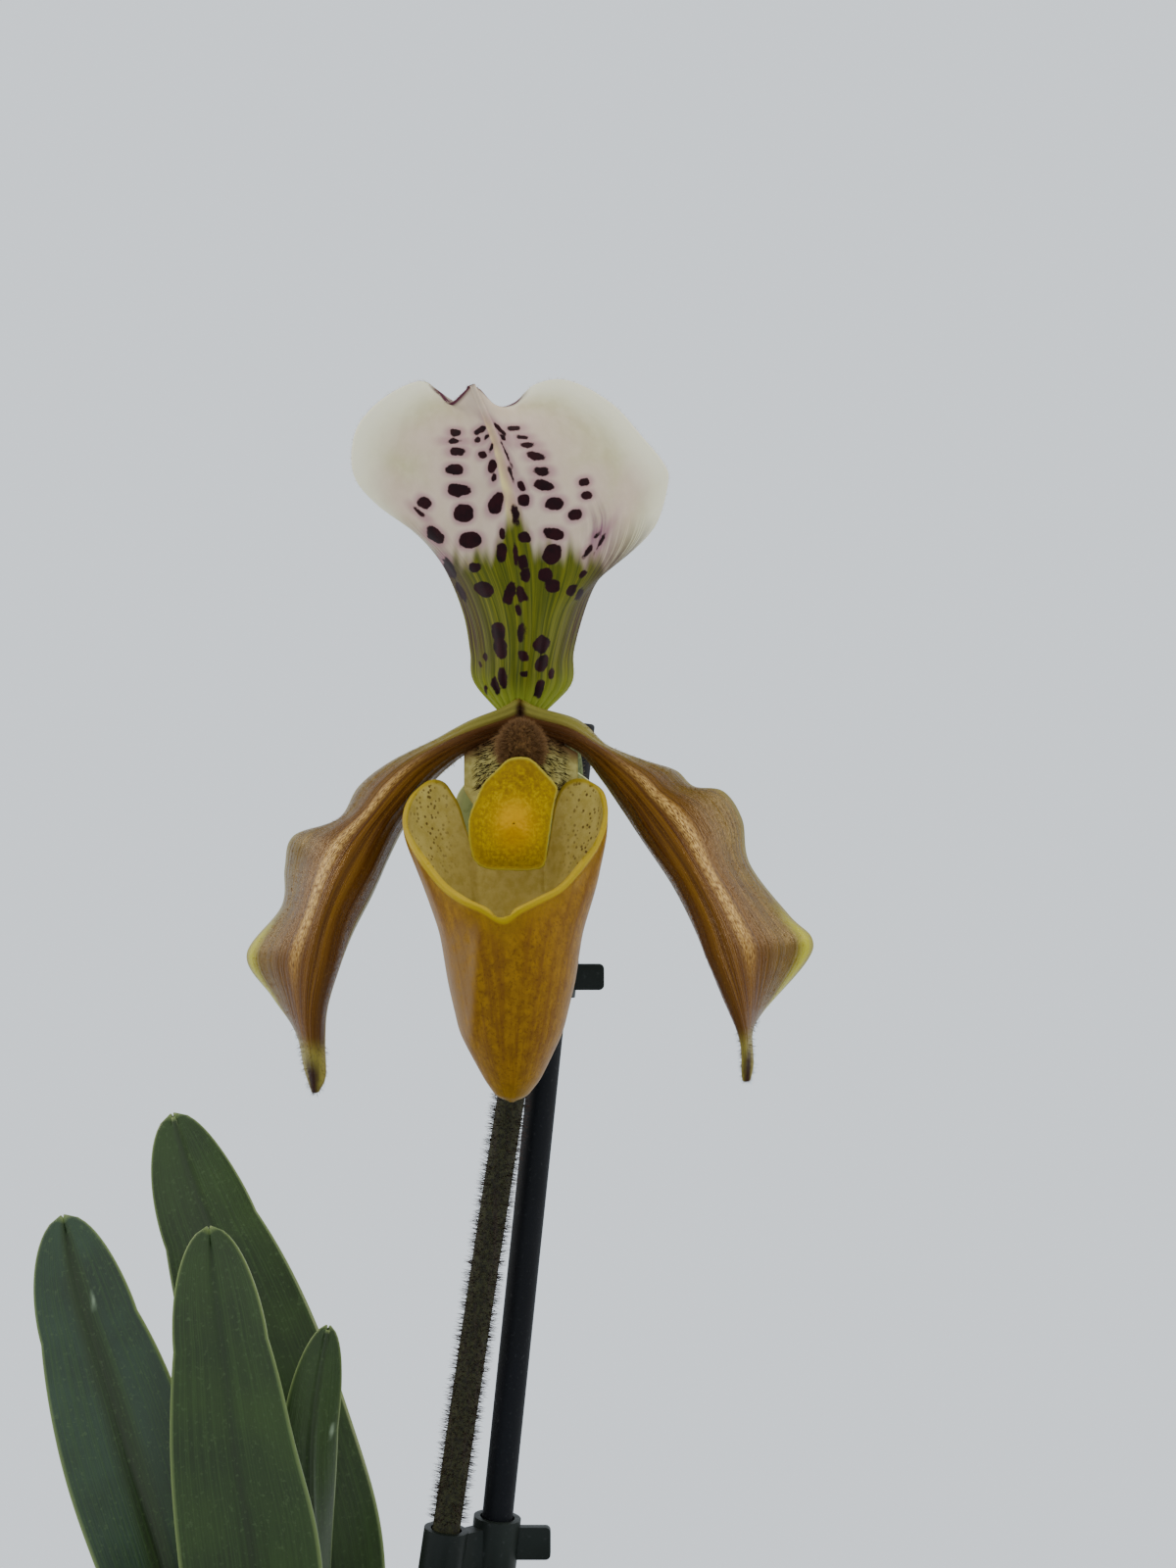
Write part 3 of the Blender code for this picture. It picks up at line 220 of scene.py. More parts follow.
# Leaves of the young growth: place, half width, channel depth and the way the right edge points
LEAVES_B = {
    "leaf_left": [
        (-6.4, 0.0, 3.0, 3.8, 1.6, 90.0), (-8.0, 0.5, 20.0, 5.0, 1.8, 80.0),
        (-12.0, 0.5, 38.0, 6.6, 2.0, 60.0), (-20.1, 2.0, 73.3, 9.6, 2.2, 20.0),
        (-25.1, 4.0, 88.2, 10.4, 2.0, 8.0), (-30.1, 7.0, 103.0, 9.6, 1.6, 0.0),
        (-33.8, 9.0, 112.0, 7.6, 1.2, 0.0), (-36.6, 11.0, 120.5, 4.9, 0.8, 0.0),
        (-38.3, 13.0, 127.0, 1.2, 0.2, 0.0),
    ],
    "leaf_front": [
        (-1.0, -6.4, 3.0, 3.8, 1.6, 0.0), (-1.5, -7.6, 20.0, 5.4, 2.0, 0.0),
        (-2.2, -8.0, 38.0, 8.2, 2.4, 0.0), (-4.3, -7.0, 76.3, 11.0, 2.6, 0.0),
        (-7.3, -6.0, 91.1, 9.9, 2.2, 0.0), (-9.0, -5.0, 106.0, 8.3, 1.8, 0.0),
        (-11.0, -3.5, 118.0, 5.6, 1.0, 0.0), (-12.3, -1.0, 127.8, 1.2, 0.2, 0.0),
    ],
    "leaf_back": [
        (0.6, 6.4, 3.0, 3.8, -1.6, 0.0), (2.0, 8.0, 20.0, 5.4, -2.0, 0.0),
        (4.5, 9.4, 38.0, 7.4, -2.4, 0.0), (3.5, 10.0, 71.3, 11.0, -2.6, 0.0),
        (-1.4, 13.0, 85.9, 11.4, -2.6, 0.0), (-7.0, 18.0, 100.5, 11.4, -2.2, 0.0),
        (-13.2, 24.0, 115.3, 9.8, -1.6, 0.0), (-17.0, 27.5, 122.9, 8.0, -1.2, 0.0),
        (-21.0, 31.0, 130.7, 5.8, -0.8, 0.0), (-24.2, 34.0, 140.6, 1.2, -0.2, 0.0),
    ],
    "leaf_small": [
        (6.2, 0.0, 3.0, 2.8, -0.8, 90.0), (5.4, -0.6, 30.0, 3.0, -1.0, 80.0),
        (4.0, -0.8, 74.3, 4.8, -1.2, 50.0), (3.2, 0.2, 89.1, 5.1, -1.2, 30.0),
        (4.0, 2.0, 101.0, 4.0, -0.8, 20.0), (5.8, 4.5, 111.1, 0.9, -0.2, 10.0),
    ],
}
# Leaves of the flowering growth: heading at the crown and at the tip, length, rise and droop
LEAVES_A = {
    "leaf_low_front_left": (225.0, 232.0, 118.0, 52.0, 24.0),
    "leaf_low_front": (287.0, 312.0, 132.0, 60.0, 28.0),
    "leaf_low_right": (350.0, 354.0, 122.0, 46.0, 20.0),
    "leaf_low_back": (66.0, 70.0, 116.0, 38.0, 16.0),
}
LEAF_A_HALF_WIDTH = 10.5
# Small pale scars: place across and along the leaf, then reach across and along
SCARS = {
    "leaf_left": [(0.22, 0.885, 0.05, 0.012)],
    "leaf_small": [(0.72, 0.85, 0.12, 0.012), (0.8, 0.62, 0.14, 0.016)],
    "leaf_low_right": [(-0.3, 0.6, 0.06, 0.014)],
}
# Hairs: how many, the shortest and the longest, their thickness, and their bend as a share of length
HAIRS = {
    "scape_hairs": (12200, 0.8, 1.7, 0.095, 0.15),
    "ovary_hairs": (1500, 0.4, 0.8, 0.06, 0.15),
    "petal_tip_hairs": (420, 0.5, 1.1, 0.075, 0.2),
    "petal_base_hairs": (1300, 0.35, 0.9, 0.06, 0.25),
    "margin_hairs": (4, 0.3, 0.8, 0.035, 0.2),
    "column_hairs": (4200, 0.4, 1.1, 0.06, 0.3),
    "ear_hairs": (900, 0.3, 0.6, 0.075, 0.3),
    "sepal_tip_hairs": (700, 0.25, 0.6, 0.06, 0.2),
    "petal_bristles": (2700, 0.3, 0.65, 0.045, 0.15),
    "shoulder_hairs": (460, 0.7, 1.7, 0.1, 0.12),
}
HAIR_SINK = 0.05
CHIP_COUNT = 330
CHIP_TRIES = 9000
CHIP_SIZES = (3.0, 5.4)
CHIP_REACH = 54.5

# Stage, in metres: where the lights aim, then each light's place, size, power and colour
LIGHT_AIM = (0.018, -0.02, 0.26)
LIGHTS = {
    "overhead": ((0.0, 0.0, 0.95), (0.4, 0.3), 1.2, (1.0, 0.97, 0.92)),
    "left strip": ((-0.507, 0.121, 0.52), (0.045, 0.32), 1.5, (1.0, 0.88, 0.7)),
    "right strip": ((0.56, 0.09, 0.54), (0.045, 0.32), 1.5, (1.0, 0.88, 0.7)),
    "front fill": ((-0.2, -0.8, 0.55), (0.6, 0.6), 0.5, (1.0, 1.0, 1.0)),
}
ROOM_COLOUR = (0.86, 0.93, 1.0, 1.0)
ROOM_STRENGTH = 1.15
FLOOR_RADIUS = 0.42
SENSOR_MM = 36.0
NEAREST_SEEN = 0.01


# Smooth lines and surfaces


def smooth_line(points, count):
    """Points evenly spaced along a smooth line through the given ones; extra columns follow."""
    given = np.array(points, dtype=float)
    padded = np.vstack([2.0 * given[0] - given[1], given, 2.0 * given[-1] - given[-2]])
    fine = []
    for index in range(len(given) - 1):
        a, b, c, d = padded[index:index + 4]
        for step in range(12):
            t = step / 12
            fine.append(0.5 * (2 * b + (c - a) * t + (2 * a - 5 * b + 4 * c - d) * t ** 2
                               + (3 * b - a - 3 * c + d) * t ** 3))
    fine = np.array([*fine, given[-1]])
    lengths = np.linalg.norm(np.diff(fine[:, :3], axis=0), axis=1)
    along = np.concatenate([[0.0], np.cumsum(lengths)])
    wanted = np.linspace(0.0, along[-1], count + 1)
    return np.stack([np.interp(wanted, along, fine[:, k]) for k in range(fine.shape[1])], axis=1)


def closed_line(points, count):
    """Evenly spaced points round a closed smooth line; the first is not repeated."""
    lap = list(points)
    fine = smooth_line(lap[-3:] + lap + lap[:4], 1200)
    away = np.linalg.norm(fine - np.array(lap[0], dtype=float), axis=1)
    start, end = int(np.argmin(away[:400])), 800 + int(np.argmin(away[800:]))
    return smooth_line(fine[start:end + 1:6], count)[:count]


def blade_rows(lines, along, across, ridge=2.0):
    """Rows of one of the flower's blades, through its two edges and its middle line."""
    edge_a, centre, edge_b = [smooth_line(line, along)[:, None, :] for line in lines]
    u = np.linspace(-1.0, 1.0, across + 1)[None, :, None]
    lift = (edge_a + edge_b) / 2.0 - centre
    return centre + (edge_b - edge_a) / 2.0 * u + lift * np.abs(u) ** ridge + FLOWER


def surface_normals(rows, wrap=False):
    """Unit normals of a grid of points."""
    if wrap:
        across = np.roll(rows, -1, axis=1) - np.roll(rows, 1, axis=1)
    else:
        across = np.gradient(rows, axis=1)
    normal = np.cross(across, np.gradient(rows, axis=0))
    return normal / np.maximum(np.linalg.norm(normal, axis=2, keepdims=True), 1e-9)


def grid_fields(rows):
    """Across from -1 to 1 and along from 0 to 1, for every point of a grid."""
    along, across = rows.shape[:2]
    u = np.broadcast_to(np.linspace(-1.0, 1.0, across)[None, :], (along, across))
    v = np.broadcast_to(np.linspace(0.0, 1.0, along)[:, None], (along, across))
    return {"u": u, "v": v}


def ramp(values):
    """Values held between 0 and 1."""
    return np.clip(values, 0.0, 1.0)


def hump(values, width):
    """1 where the values are zero, and fading to both sides over a width."""
    return np.exp(-(values / width) ** 2)


def blade_thickness(u, full, thin=0.4, power=5):
    """A thickness that thins from the middle of a blade to its two edges."""
    return full * (thin + (1.0 - thin) * (1.0 - np.abs(u) ** power))


def turned(angle, radius, middle=(0.0, 0.0)):
    """A place on a level circle; the angle is in radians."""
    return middle[0] + radius * math.cos(angle), middle[1] + radius * math.sin(angle)


def lap_angles(count):
    return [2.0 * math.pi * step / count for step in range(count)]


# Meshes and pieces


def linked(name, content):
    """A new object in the scene."""
    item = bpy.data.objects.new(name, content)
    bpy.context.scene.collection.objects.link(item)
    return item


def finish_piece(name, mesh, material, slot, *nodes):
    for polygon in mesh.polygons:
        polygon.use_smooth = True
    mesh.materials.append(material)
    piece = linked(name, mesh)
    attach(piece, "root")
    if nodes:
        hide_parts(*nodes)


def mesh_of(name, data):
    """A mesh made from editing data, which is then freed."""
    mesh = bpy.data.meshes.new(name)
    data.to_mesh(mesh)
    data.free()
    return mesh


def edited(mesh, edit):
    """The same mesh after a function has changed it."""
    data = bmesh.new()
    data.from_mesh(mesh)
    edit(data)
    data.to_mesh(mesh)
    data.free()
    return mesh


def turn_outwards(mesh):
    return edited(mesh, lambda data: bmesh.ops.recalc_face_normals(data, faces=data.faces))


def crisp_edges(mesh, limit=40.0):
    """Keeps edges sharper than the limit, in degrees, crisp."""
    def mark(data):
        for edge in data.edges:
            if len(edge.link_faces) == 2:
                edge.smooth = edge.calc_face_angle(0.0) < math.radians(limit)
    return edited(mesh, mark)


def mesh_from(name, points, faces, fields):
    """A mesh in metres from points in millimetres, with a number per point for each field."""
    mesh = bpy.data.meshes.new(name)
    mesh.from_pydata((np.asarray(points) * MM).tolist(), [], faces)
    for key, values in fields.items():
        layer = mesh.attributes.new(key, "FLOAT", "POINT")
        layer.data.foreach_set("value", np.asarray(values, dtype=np.float32).ravel())
    mesh.validate()
    mesh.update()
    return mesh


def grid_quads(along, across, wrap=True):
    """The corners of every cell of a grid of points."""
    quads = []
    for low in range(0, (along - 1) * across, across):
        for column in range(across if wrap else across - 1):
            a, b = low + column, low + (column + 1) % across
            quads.append((a, b, b + across, a + across))
    return quads


def sheet_mesh(name, rows, thickness, fields, wrap=False, flip=False):
    """A closed sheet round a grid of points; thickness may differ from point to point."""
    rows = np.asarray(rows, dtype=float)
    along, across = rows.shape[:2]
    normal = surface_normals(rows, wrap) * (-1.0 if flip else 1.0)
    half = (np.broadcast_to(thickness, (along, across)) / 2.0)[:, :, None]
    points = np.vstack([(rows + normal * half).reshape(-1, 3),
                        (rows - normal * half).reshape(-1, 3)])
    count = along * across
    last = count - across
    faces = []
    for a, b, c, d in grid_quads(along, across, wrap):
        quad = (a, d, c, b) if flip else (a, b, c, d)
        faces += [quad, tuple(index + count for index in reversed(quad))]
    border = []
    for column in range(across if wrap else across - 1):
        after = (column + 1) % across
        border += [(column, after), (last + after, last + column)]
    if not wrap:
        for low in range(0, last, across):
            border += [(low + across, low), (low + across - 1, low + 2 * across - 1)]
    for a, b in border:
        faces.append((a, b, b + count, a + count) if flip else (b, a, a + count, b + count))
    both = {key: np.tile(np.ravel(value), 2) for key, value in fields.items()}
    both["side"] = np.repeat([0.0, 1.0], count)
    return mesh_from(name, points, faces, both)


def tube_mesh(name, path, sides, steps, ribs=0, rib_depth=0.0):
    """A closed round body along a path of places and radii, with lengthwise ribs if asked."""
    line = smooth_line(path, steps)
    points, around = [], []
    for index, station in enumerate(line):
        ahead = line[min(index + 1, steps)][:3] - line[max(index - 1, 0)][:3]
        axis = Vector(ahead).normalized()
        side = axis.cross(Vector((0.0, 1.0, 0.3))).normalized()
        other = axis.cross(side)
        for angle in lap_angles(sides):
            reach = station[3] * (1.0 + rib_depth * math.cos(ribs * angle))
            offset = (side * math.cos(angle) + other * math.sin(angle)) * reach
            points.append(tuple(Vector(station[:3]) + offset))
            around.append(math.cos(ribs * angle) if ribs else math.cos(angle))
    faces = grid_quads(steps + 1, sides)
    faces.append(tuple(reversed(range(sides))))
    faces.append(tuple(range(steps * sides, (steps + 1) * sides)))
    along = np.repeat(np.linspace(0.0, 1.0, steps + 1), sides)
    return turn_outwards(mesh_from(name, points, faces, {"u": around, "v": along}))


def turned_mesh(name, profile, sides, origin=(0.0, 0.0, 0.0)):
    """A body turned about a vertical axis; its profile starts and ends on the axis."""
    points = []
    for radius, height in profile[1:-1]:
        points += [(*turned(angle, radius, origin), origin[2] + height)
                   for angle in lap_angles(sides)]
    count = len(points)
    points += [(*origin[:2], origin[2] + end[1]) for end in (profile[0], profile[-1])]
    faces = grid_quads(len(profile) - 2, sides)
    last = count - sides
    for step in range(sides):
        after = (step + 1) % sides
        faces += [(after, step, count), (last + step, last + after, count + 1)]
    return turn_outwards(mesh_from(name, points, faces, {}))


class Hairs:
    """Fine tapering hairs, each a bent three-sided spike, gathered into one piece."""

    def __init__(self, name, draw):
        self.name = name
        self.draw = draw
        self.count, self.shortest, self.longest, self.thickness, self.bend = HAIRS[name]
        self.hairs = []

    def add(self, root, direction, length=None):
        if length is None:
            length = self.draw.uniform(self.shortest, self.longest)
        self.hairs.append((Vector(root), Vector(direction), length))

    def jitter(self, spread):
        return Vector([self.draw.uniform(-spread, spread) for _ in range(3)])

    def scatter(self, rows, chosen, spread, lean, flip):
        """Adds hairs that stand on a surface where a test lets them."""
        normal = surface_normals(rows) * (-1.0 if flip else 1.0)
        along, across = rows.shape[:2]
        wanted = len(self.hairs) + self.count
        for _ in range(self.count * 60):
            if len(self.hairs) == wanted:
                break
            row, column = self.draw.randrange(along), self.draw.randrange(across)
            if chosen(2.0 * column / (across - 1) - 1.0, row / (along - 1)):
                way = Vector(normal[row, column]) + self.jitter(spread) + Vector(lean)
                self.add(rows[row, column], way)

    def finish(self, paint, slot):
        points, faces, along = [], [], []
        cells = grid_quads(2, 3)
        for root, direction, length in self.hairs:
            axis = direction.normalized()
            side = turned_side(axis, self.draw.uniform(0.0, 2.0 * math.pi))
            other = axis.cross(side)
            base = len(points)
            for t in (0.0, 0.5):
                middle = root + axis * (length * t) + side * (self.bend * length * t * t)
                reach = self.thickness / 2.0 * (1.0 - 0.75 * t)
                for angle in lap_angles(3):
                    corner = side * math.cos(angle) + other * math.sin(angle)
                    points.append(tuple(middle + corner * reach))
            points.append(tuple(root + axis * length + side * (self.bend * length)))
            along += [0.0] * 3 + [0.5] * 3 + [1.0]
            faces.append((base + 2, base + 1, base))
            for a, b, c, d in cells:
                faces += [(base + a, base + b, base + c, base + d),
                          (base + d, base + c, base + 6)]
        mesh = mesh_from(self.name, points, faces, {"v": along})
        finish_piece(self.name, mesh, paint, slot)


def turned_side(axis, angle):
    """A unit vector square to an axis, turned about it by an angle."""
    side = axis.orthogonal().normalized()
    side.rotate(Matrix.Rotation(angle, 3, axis))
    return side


# Materials


class Paint:
    """A Principled material and short ways to add nodes to it."""

    def __init__(self, name, roughness=0.5, specular=0.2, coat=0.0, coat_roughness=0.2,
                 subsurface=0.0, tint=(1.0, 1.0, 1.0)):
        self.material = bpy.data.materials.new(name)
        self.material.use_nodes = True
        self.tree = self.material.node_tree
        self.shader = self.tree.nodes["Principled BSDF"]
        given = {"Roughness": roughness, "Specular IOR Level": specular, "Coat Weight": coat,
                 "Coat Roughness": coat_roughness, "Specular Tint": (*tint, 1.0)}
        if subsurface:
            given["Subsurface Weight"] = subsurface
            given["Subsurface Scale"] = MM
            given["Subsurface Radius"] = (1.0, 0.95, 0.6)
        for socket, value in given.items():
            self.shader.inputs[socket].default_value = value

    def link(self, source, target):
        if isinstance(source, bpy.types.NodeSocket):
            self.tree.links.new(source, target)
        else:
            target.default_value = source

    def node(self, kind, output, values=(), **settings):
        """One output of a new node whose inputs are linked or set."""
        node = self.tree.nodes.new("ShaderNode" + kind)
        for key, value in settings.items():
            setattr(node, key, value)
        for socket, value in dict(values).items():
            self.link(value, node.inputs[socket])
        return node.outputs[output]

    def field(self, name):
        return self.node("Attribute", "Fac", attribute_name=name)

    def place(self):
        return self.node("TexCoord", "Object")

    def grid(self, x, y):
        """A vector that runs across and along the surface's own grid."""
        across, along = self.times(self.field("u"), x), self.times(self.field("v"), y)
        return self.node("CombineXYZ", 0, {0: across, 1: along})

    def scaled_place(self, x, y, z):
        return self.node("Mapping", 0, {"Vector": self.place(), "Scale": (x, y, z)})

    def noise(self, scale, detail=3.0, rough=0.5, vector=None):
        vector = self.place() if vector is None else vector
        return self.node("TexNoise", "Fac", {"Vector": vector, "Scale": scale, "Detail": detail,
                                             "Roughness": rough})

    def cells(self, scale):
        return self.node("TexVoronoi", "Distance", {"Vector": self.place(), "Scale": scale})

    def math(self, operation, a, b=0.0):
        return self.node("Math", 0, {0: a, 1: b}, operation=operation)

    def away(self, value, middle=0.0):
        """How far a value is from a middle."""
        return self.math("ABSOLUTE", self.math("SUBTRACT", value, middle))

    def times(self, first, *others):
        for other in others:
            first = self.math("MULTIPLY", first, other)
        return first

    def plus(self, first, *others):
        for other in others:
            first = self.math("ADD", first, other)
        return first

    def band(self, value, low, high, ends=(0.0, 1.0)):
        """0 below low and 1 above high."""
        return self.node("MapRange", 0, {"Value": value, "From Min": low, "From Max": high,
                                         "To Min": ends[0], "To Max": ends[1]},
                         interpolation_type="SMOOTHSTEP")

    def fade(self, value, low, high):
        """1 below low and 0 above high."""
        return self.band(value, low, high, (1.0, 0.0))

    def over(self, tone, colour, *shares):
        """A tone with a colour laid over it by the product of the shares."""
        return self.node("Mix", "Result", {"Factor": self.times(*shares), "A": tone, "B": colour},
                         data_type="RGBA")

    def layers(self, tone, *layers):
        """A tone with colours laid over it in turn, each by the product of its shares."""
        for colour, *shares in layers:
            tone = self.over(tone, colour, *shares)
        return tone

    def roughness(self, value):
        self.link(value, self.shader.inputs["Roughness"])

    def done(self, tone, height=None, depth_mm=0.0, strength=1.0):
        """The material with its colour, and with its relief if a height is given."""
        self.link(tone, self.shader.inputs["Base Color"])
        if height is not None:
            normal = self.node("Bump", "Normal", {"Distance": depth_mm * MM, "Strength": strength,
                                                  "Height": height})
            self.link(normal, self.shader.inputs["Normal"])
            self.link(normal, self.shader.inputs["Coat Normal"])
        return self.material


def rgb(red, green, painted_blue_sheen):
    """A colour given as it looks on screen, from 0 to 255, turned into linear light."""
    parts = []
    for value in (red, green, painted_blue_sheen):
        share = value / 255.0
        parts.append(share / 12.92 if share <= 0.04045 else ((share + 0.055) / 1.055) ** 2.4)
    return (*parts, 1.0)


def dorsal_paint():
    paint = Paint("dorsal sepal", roughness=0.6, specular=0.1, subsurface=0.15)
    u, v, spot = paint.field("u"), paint.field("v"), paint.field("spot")
    green = paint.band(paint.field("green"), 0.0, 1.0)
    back = paint.band(paint.field("side"), 0.2, 0.8)
    out = paint.away(u)
    veins = paint.noise(1.0, 4.0, 0.6, paint.grid(26.0, 2.2))
    fine = paint.noise(1.0, 3.0, 0.6, paint.grid(70.0, 3.2))
    mottle = paint.noise(420.0, 4.0, 0.6)
    white = paint.layers(
        rgb(184, 176, 134),
        (rgb(198, 190, 152), paint.band(mottle, 0.3, 0.75)),
        (rgb(190, 184, 140), paint.band(veins, 0.4, 0.7), paint.fade(out, 0.5, 0.8), 0.35),
        (rgb(214, 178, 178), paint.fade(spot, 0.4, 4.5), 0.45),
        # Painted light: the outer wings turn lighter towards their edges, standing in for light
        # shining through them from behind.
        (rgb(226, 222, 196), paint.band(out, 0.72, 1.0)),
        (rgb(226, 208, 142), paint.fade(paint.away(u, -0.02), 0.01, 0.05),
         paint.band(v, 0.42, 0.55), paint.fade(v, 0.86, 0.93)))
    greens = paint.layers(
        rgb(110, 110, 20),
        (rgb(58, 66, 12), paint.band(veins, 0.3, 0.7)),
        (rgb(40, 52, 6), paint.band(fine, 0.5, 0.7), 0.5),
        (rgb(132, 142, 40), paint.fade(v, 0.0, 0.13)))
    maroon = paint.over(rgb(24, 4, 8), rgb(40, 7, 13), paint.band(mottle, 0.3, 0.7))
    wander = paint.times(paint.math("SUBTRACT", paint.noise(650.0, 4.0), 0.5), 0.8)
    tip = paint.math("MAXIMUM", paint.times(paint.field("tip"), back), paint.field("hem"))
    tone = paint.layers(
        white,
        (greens, green),
        (rgb(58, 32, 32), paint.band(out, 0.35, 0.85), paint.band(fine, 0.32, 0.54),
         paint.band(v, 0.08, 0.2), paint.field("neck"), 0.9),
        (rgb(150, 96, 116), paint.fade(spot, 0.0, 0.9), paint.math("SUBTRACT", 1.0, green), 0.6),
        (rgb(104, 56, 88), paint.field("stain"), paint.band(veins, 0.3, 0.75)),
        (maroon, paint.fade(paint.plus(spot, wander), -0.06, 0.1),
         paint.fade(paint.field("side"), 0.2, 0.8)),
        (rgb(104, 58, 72), back, paint.fade(spot, -0.1, 0.4), 0.5),
        (rgb(72, 24, 42), tip))
    return paint.done(tone, paint.plus(veins, paint.times(mottle, 0.4)), 0.06, 0.5)


def petal_paint(name):
    paint = Paint(name, roughness=0.3, specular=0.26, subsurface=0.05, tint=(1.0, 0.68, 0.3))
    u, v = paint.field("u"), paint.field("v")
    veins = paint.noise(1.0, 3.0, 0.55, paint.grid(9.0, 1.1))
    fine = paint.noise(1.0, 2.0, 0.5, paint.grid(34.0, 4.0))
    bristle = paint.noise(1.0, 2.0, 0.5, paint.grid(60.0, 90.0))
    mottle = paint.noise(520.0, 4.0, 0.6)
    olive = paint.over(rgb(96, 78, 10), rgb(76, 58, 10), paint.band(mottle, 0.35, 0.7))
    dusk = paint.over(rgb(66, 36, 18), rgb(44, 18, 14), paint.band(fine, 0.35, 0.6))
    tone = paint.layers(
        rgb(108, 70, 8),
        (rgb(84, 48, 8), paint.band(veins, 0.36, 0.62)),
        (rgb(58, 26, 10), paint.band(fine, 0.48, 0.66), 0.75),
        (olive, paint.fade(u, -0.95, -0.3), 0.8),
        (dusk, paint.band(u, 0.2, 0.55), paint.fade(u, 0.8, 0.94), paint.band(v, 0.6, 0.8), 0.5),
        (rgb(52, 22, 14), paint.fade(paint.away(u, 0.12), 0.0, 0.12), paint.fade(v, 0.6, 0.95),
         0.45),
        (rgb(134, 128, 56), paint.fade(v, 0.05, 0.3), paint.band(v, 0.0, 0.012),
         paint.fade(u, -0.6, -0.3), 0.9),
        (rgb(78, 46, 26), paint.fade(v, 0.1, 0.26), paint.band(u, -0.5, -0.2), 0.8),
        (rgb(44, 24, 14), paint.fade(v, 0.004, 0.016), paint.band(u, -0.95, -0.6)),
        (rgb(128, 118, 38), paint.band(u, 0.84, 0.95), paint.band(v, 0.06, 0.14), 0.85),
        (rgb(170, 166, 14), paint.fade(u, -0.97, -0.8), paint.band(v, 0.6, 0.7)),
        (rgb(126, 112, 34), paint.fade(u, -0.99, -0.93), 0.7),
        (rgb(138, 128, 56), paint.band(v, 0.87, 0.93)),
        (rgb(36, 12, 14), paint.band(v, 0.9, 0.96), paint.fade(paint.away(u), 0.15, 0.7)))
    behind = paint.over(tone, rgb(110, 100, 34), 0.5)
    tone = paint.layers(
        tone,
        # Painted highlight: a narrow golden-white streak along the upper middle of the petal stands
        # in for light glinting on the bristles.
        (rgb(214, 172, 96), paint.fade(paint.away(u, -0.27), 0.02, 0.16),
         paint.band(v, 0.16, 0.34), paint.fade(v, 0.62, 0.8), paint.band(bristle, 0.34, 0.66),
         0.85),
        (behind, paint.band(paint.field("side"), 0.2, 0.8)))
    paint.roughness(paint.plus(paint.times(bristle, 0.2), 0.2))
    height = paint.plus(paint.times(veins, 1.5), paint.times(fine, 0.6),
                        paint.times(bristle, 0.45))
    return paint.done(tone, height, 0.26, 0.7)


def pouch_paint():
    paint = Paint("pouch", roughness=0.42, specular=0.15, subsurface=0.08, tint=(1.0, 0.8, 0.5))
    rim, v = paint.field("rim"), paint.field("v")
    mottle = paint.noise(700.0, 5.0, 0.65)
    grain = paint.noise(2400.0, 3.0, 0.6)
    veins = paint.noise(1.0, 4.0, 0.6, paint.grid(22.0, 1.6))
    edge = paint.fade(rim, 0.35, 0.95)
    outside = paint.layers(
        rgb(134, 96, 14),
        (rgb(112, 76, 12), paint.band(mottle, 0.36, 0.66)),
        (rgb(102, 64, 16), paint.band(veins, 0.42, 0.66), 0.7),
        (rgb(76, 42, 8), paint.band(grain, 0.52, 0.66), 0.45),
        # Painted sheen: the lighter greyish strip left of the crease stands in for a reflection on
        # the pouch's side.
        (rgb(124, 96, 60), paint.field("sheen"), paint.band(mottle, 0.2, 0.6), 0.65),
        (rgb(132, 100, 6), paint.band(v, 0.6, 0.97), 0.75),
        (rgb(138, 104, 6), paint.fade(rim, 0.8, 5.0), paint.band(grain, 0.3, 0.6), 0.6),
        (rgb(160, 134, 16), edge))
    inside = paint.layers(
        rgb(198, 178, 98),
        (rgb(180, 158, 76), paint.band(mottle, 0.35, 0.7)),
        (rgb(196, 166, 18), paint.band(v, 0.22, 0.5)),
        (rgb(74, 44, 18), paint.fade(paint.cells(1300.0), 0.24, 0.34), paint.field("ear"), 0.85),
        (rgb(168, 140, 12), edge, 0.8))
    tone = paint.over(outside, inside, paint.band(paint.field("side"), 0.3, 0.7))
    height = paint.plus(paint.times(veins, 0.8), mottle, paint.times(grain, 0.4))
    return paint.done(tone, height, 0.1, 0.6)


def staminode_paint():
    paint = Paint("staminode", roughness=0.42, specular=0.2, subsurface=0.1, tint=(1.0, 0.8, 0.4))
    reach = paint.field("reach")
    grain = paint.noise(2100.0, 3.0, 0.6)
    mottle = paint.noise(800.0, 4.0, 0.65)
    tone = paint.layers(
        rgb(174, 142, 0),
        (rgb(142, 110, 0), paint.band(grain, 0.35, 0.62)),
        (rgb(198, 146, 0), paint.band(paint.field("glow"), 0.0, 1.0), 0.9),
        (rgb(100, 64, 6), paint.field("top"), paint.band(mottle, 0.35, 0.6), 0.75),
        (rgb(146, 116, 10), paint.band(reach, 0.7, 0.92), 0.5),
        (rgb(166, 148, 46), paint.band(reach, 0.94, 0.99)))
    return paint.done(tone, paint.plus(grain, mottle), 0.07, 0.6)


def column_paint():
    paint = Paint("column", roughness=0.8, specular=0.08)
    mottle = paint.noise(900.0, 4.0, 0.65)
    tone = paint.over(rgb(120, 88, 48), rgb(74, 46, 22), paint.band(mottle, 0.35, 0.65))
    return paint.done(tone, mottle, 0.3, 0.8)


def shoulder_paint():
    paint = Paint("shoulders", roughness=0.6, specular=0.15, subsurface=0.1)
    mottle = paint.noise(900.0, 4.0, 0.6)
    tone = paint.layers(
        rgb(206, 194, 116),
        (rgb(176, 160, 86), paint.band(mottle, 0.35, 0.65)),
        (rgb(120, 86, 50), paint.fade(paint.field("v"), 0.0, 0.35)))
    return paint.done(tone, mottle, 0.15, 0.6)


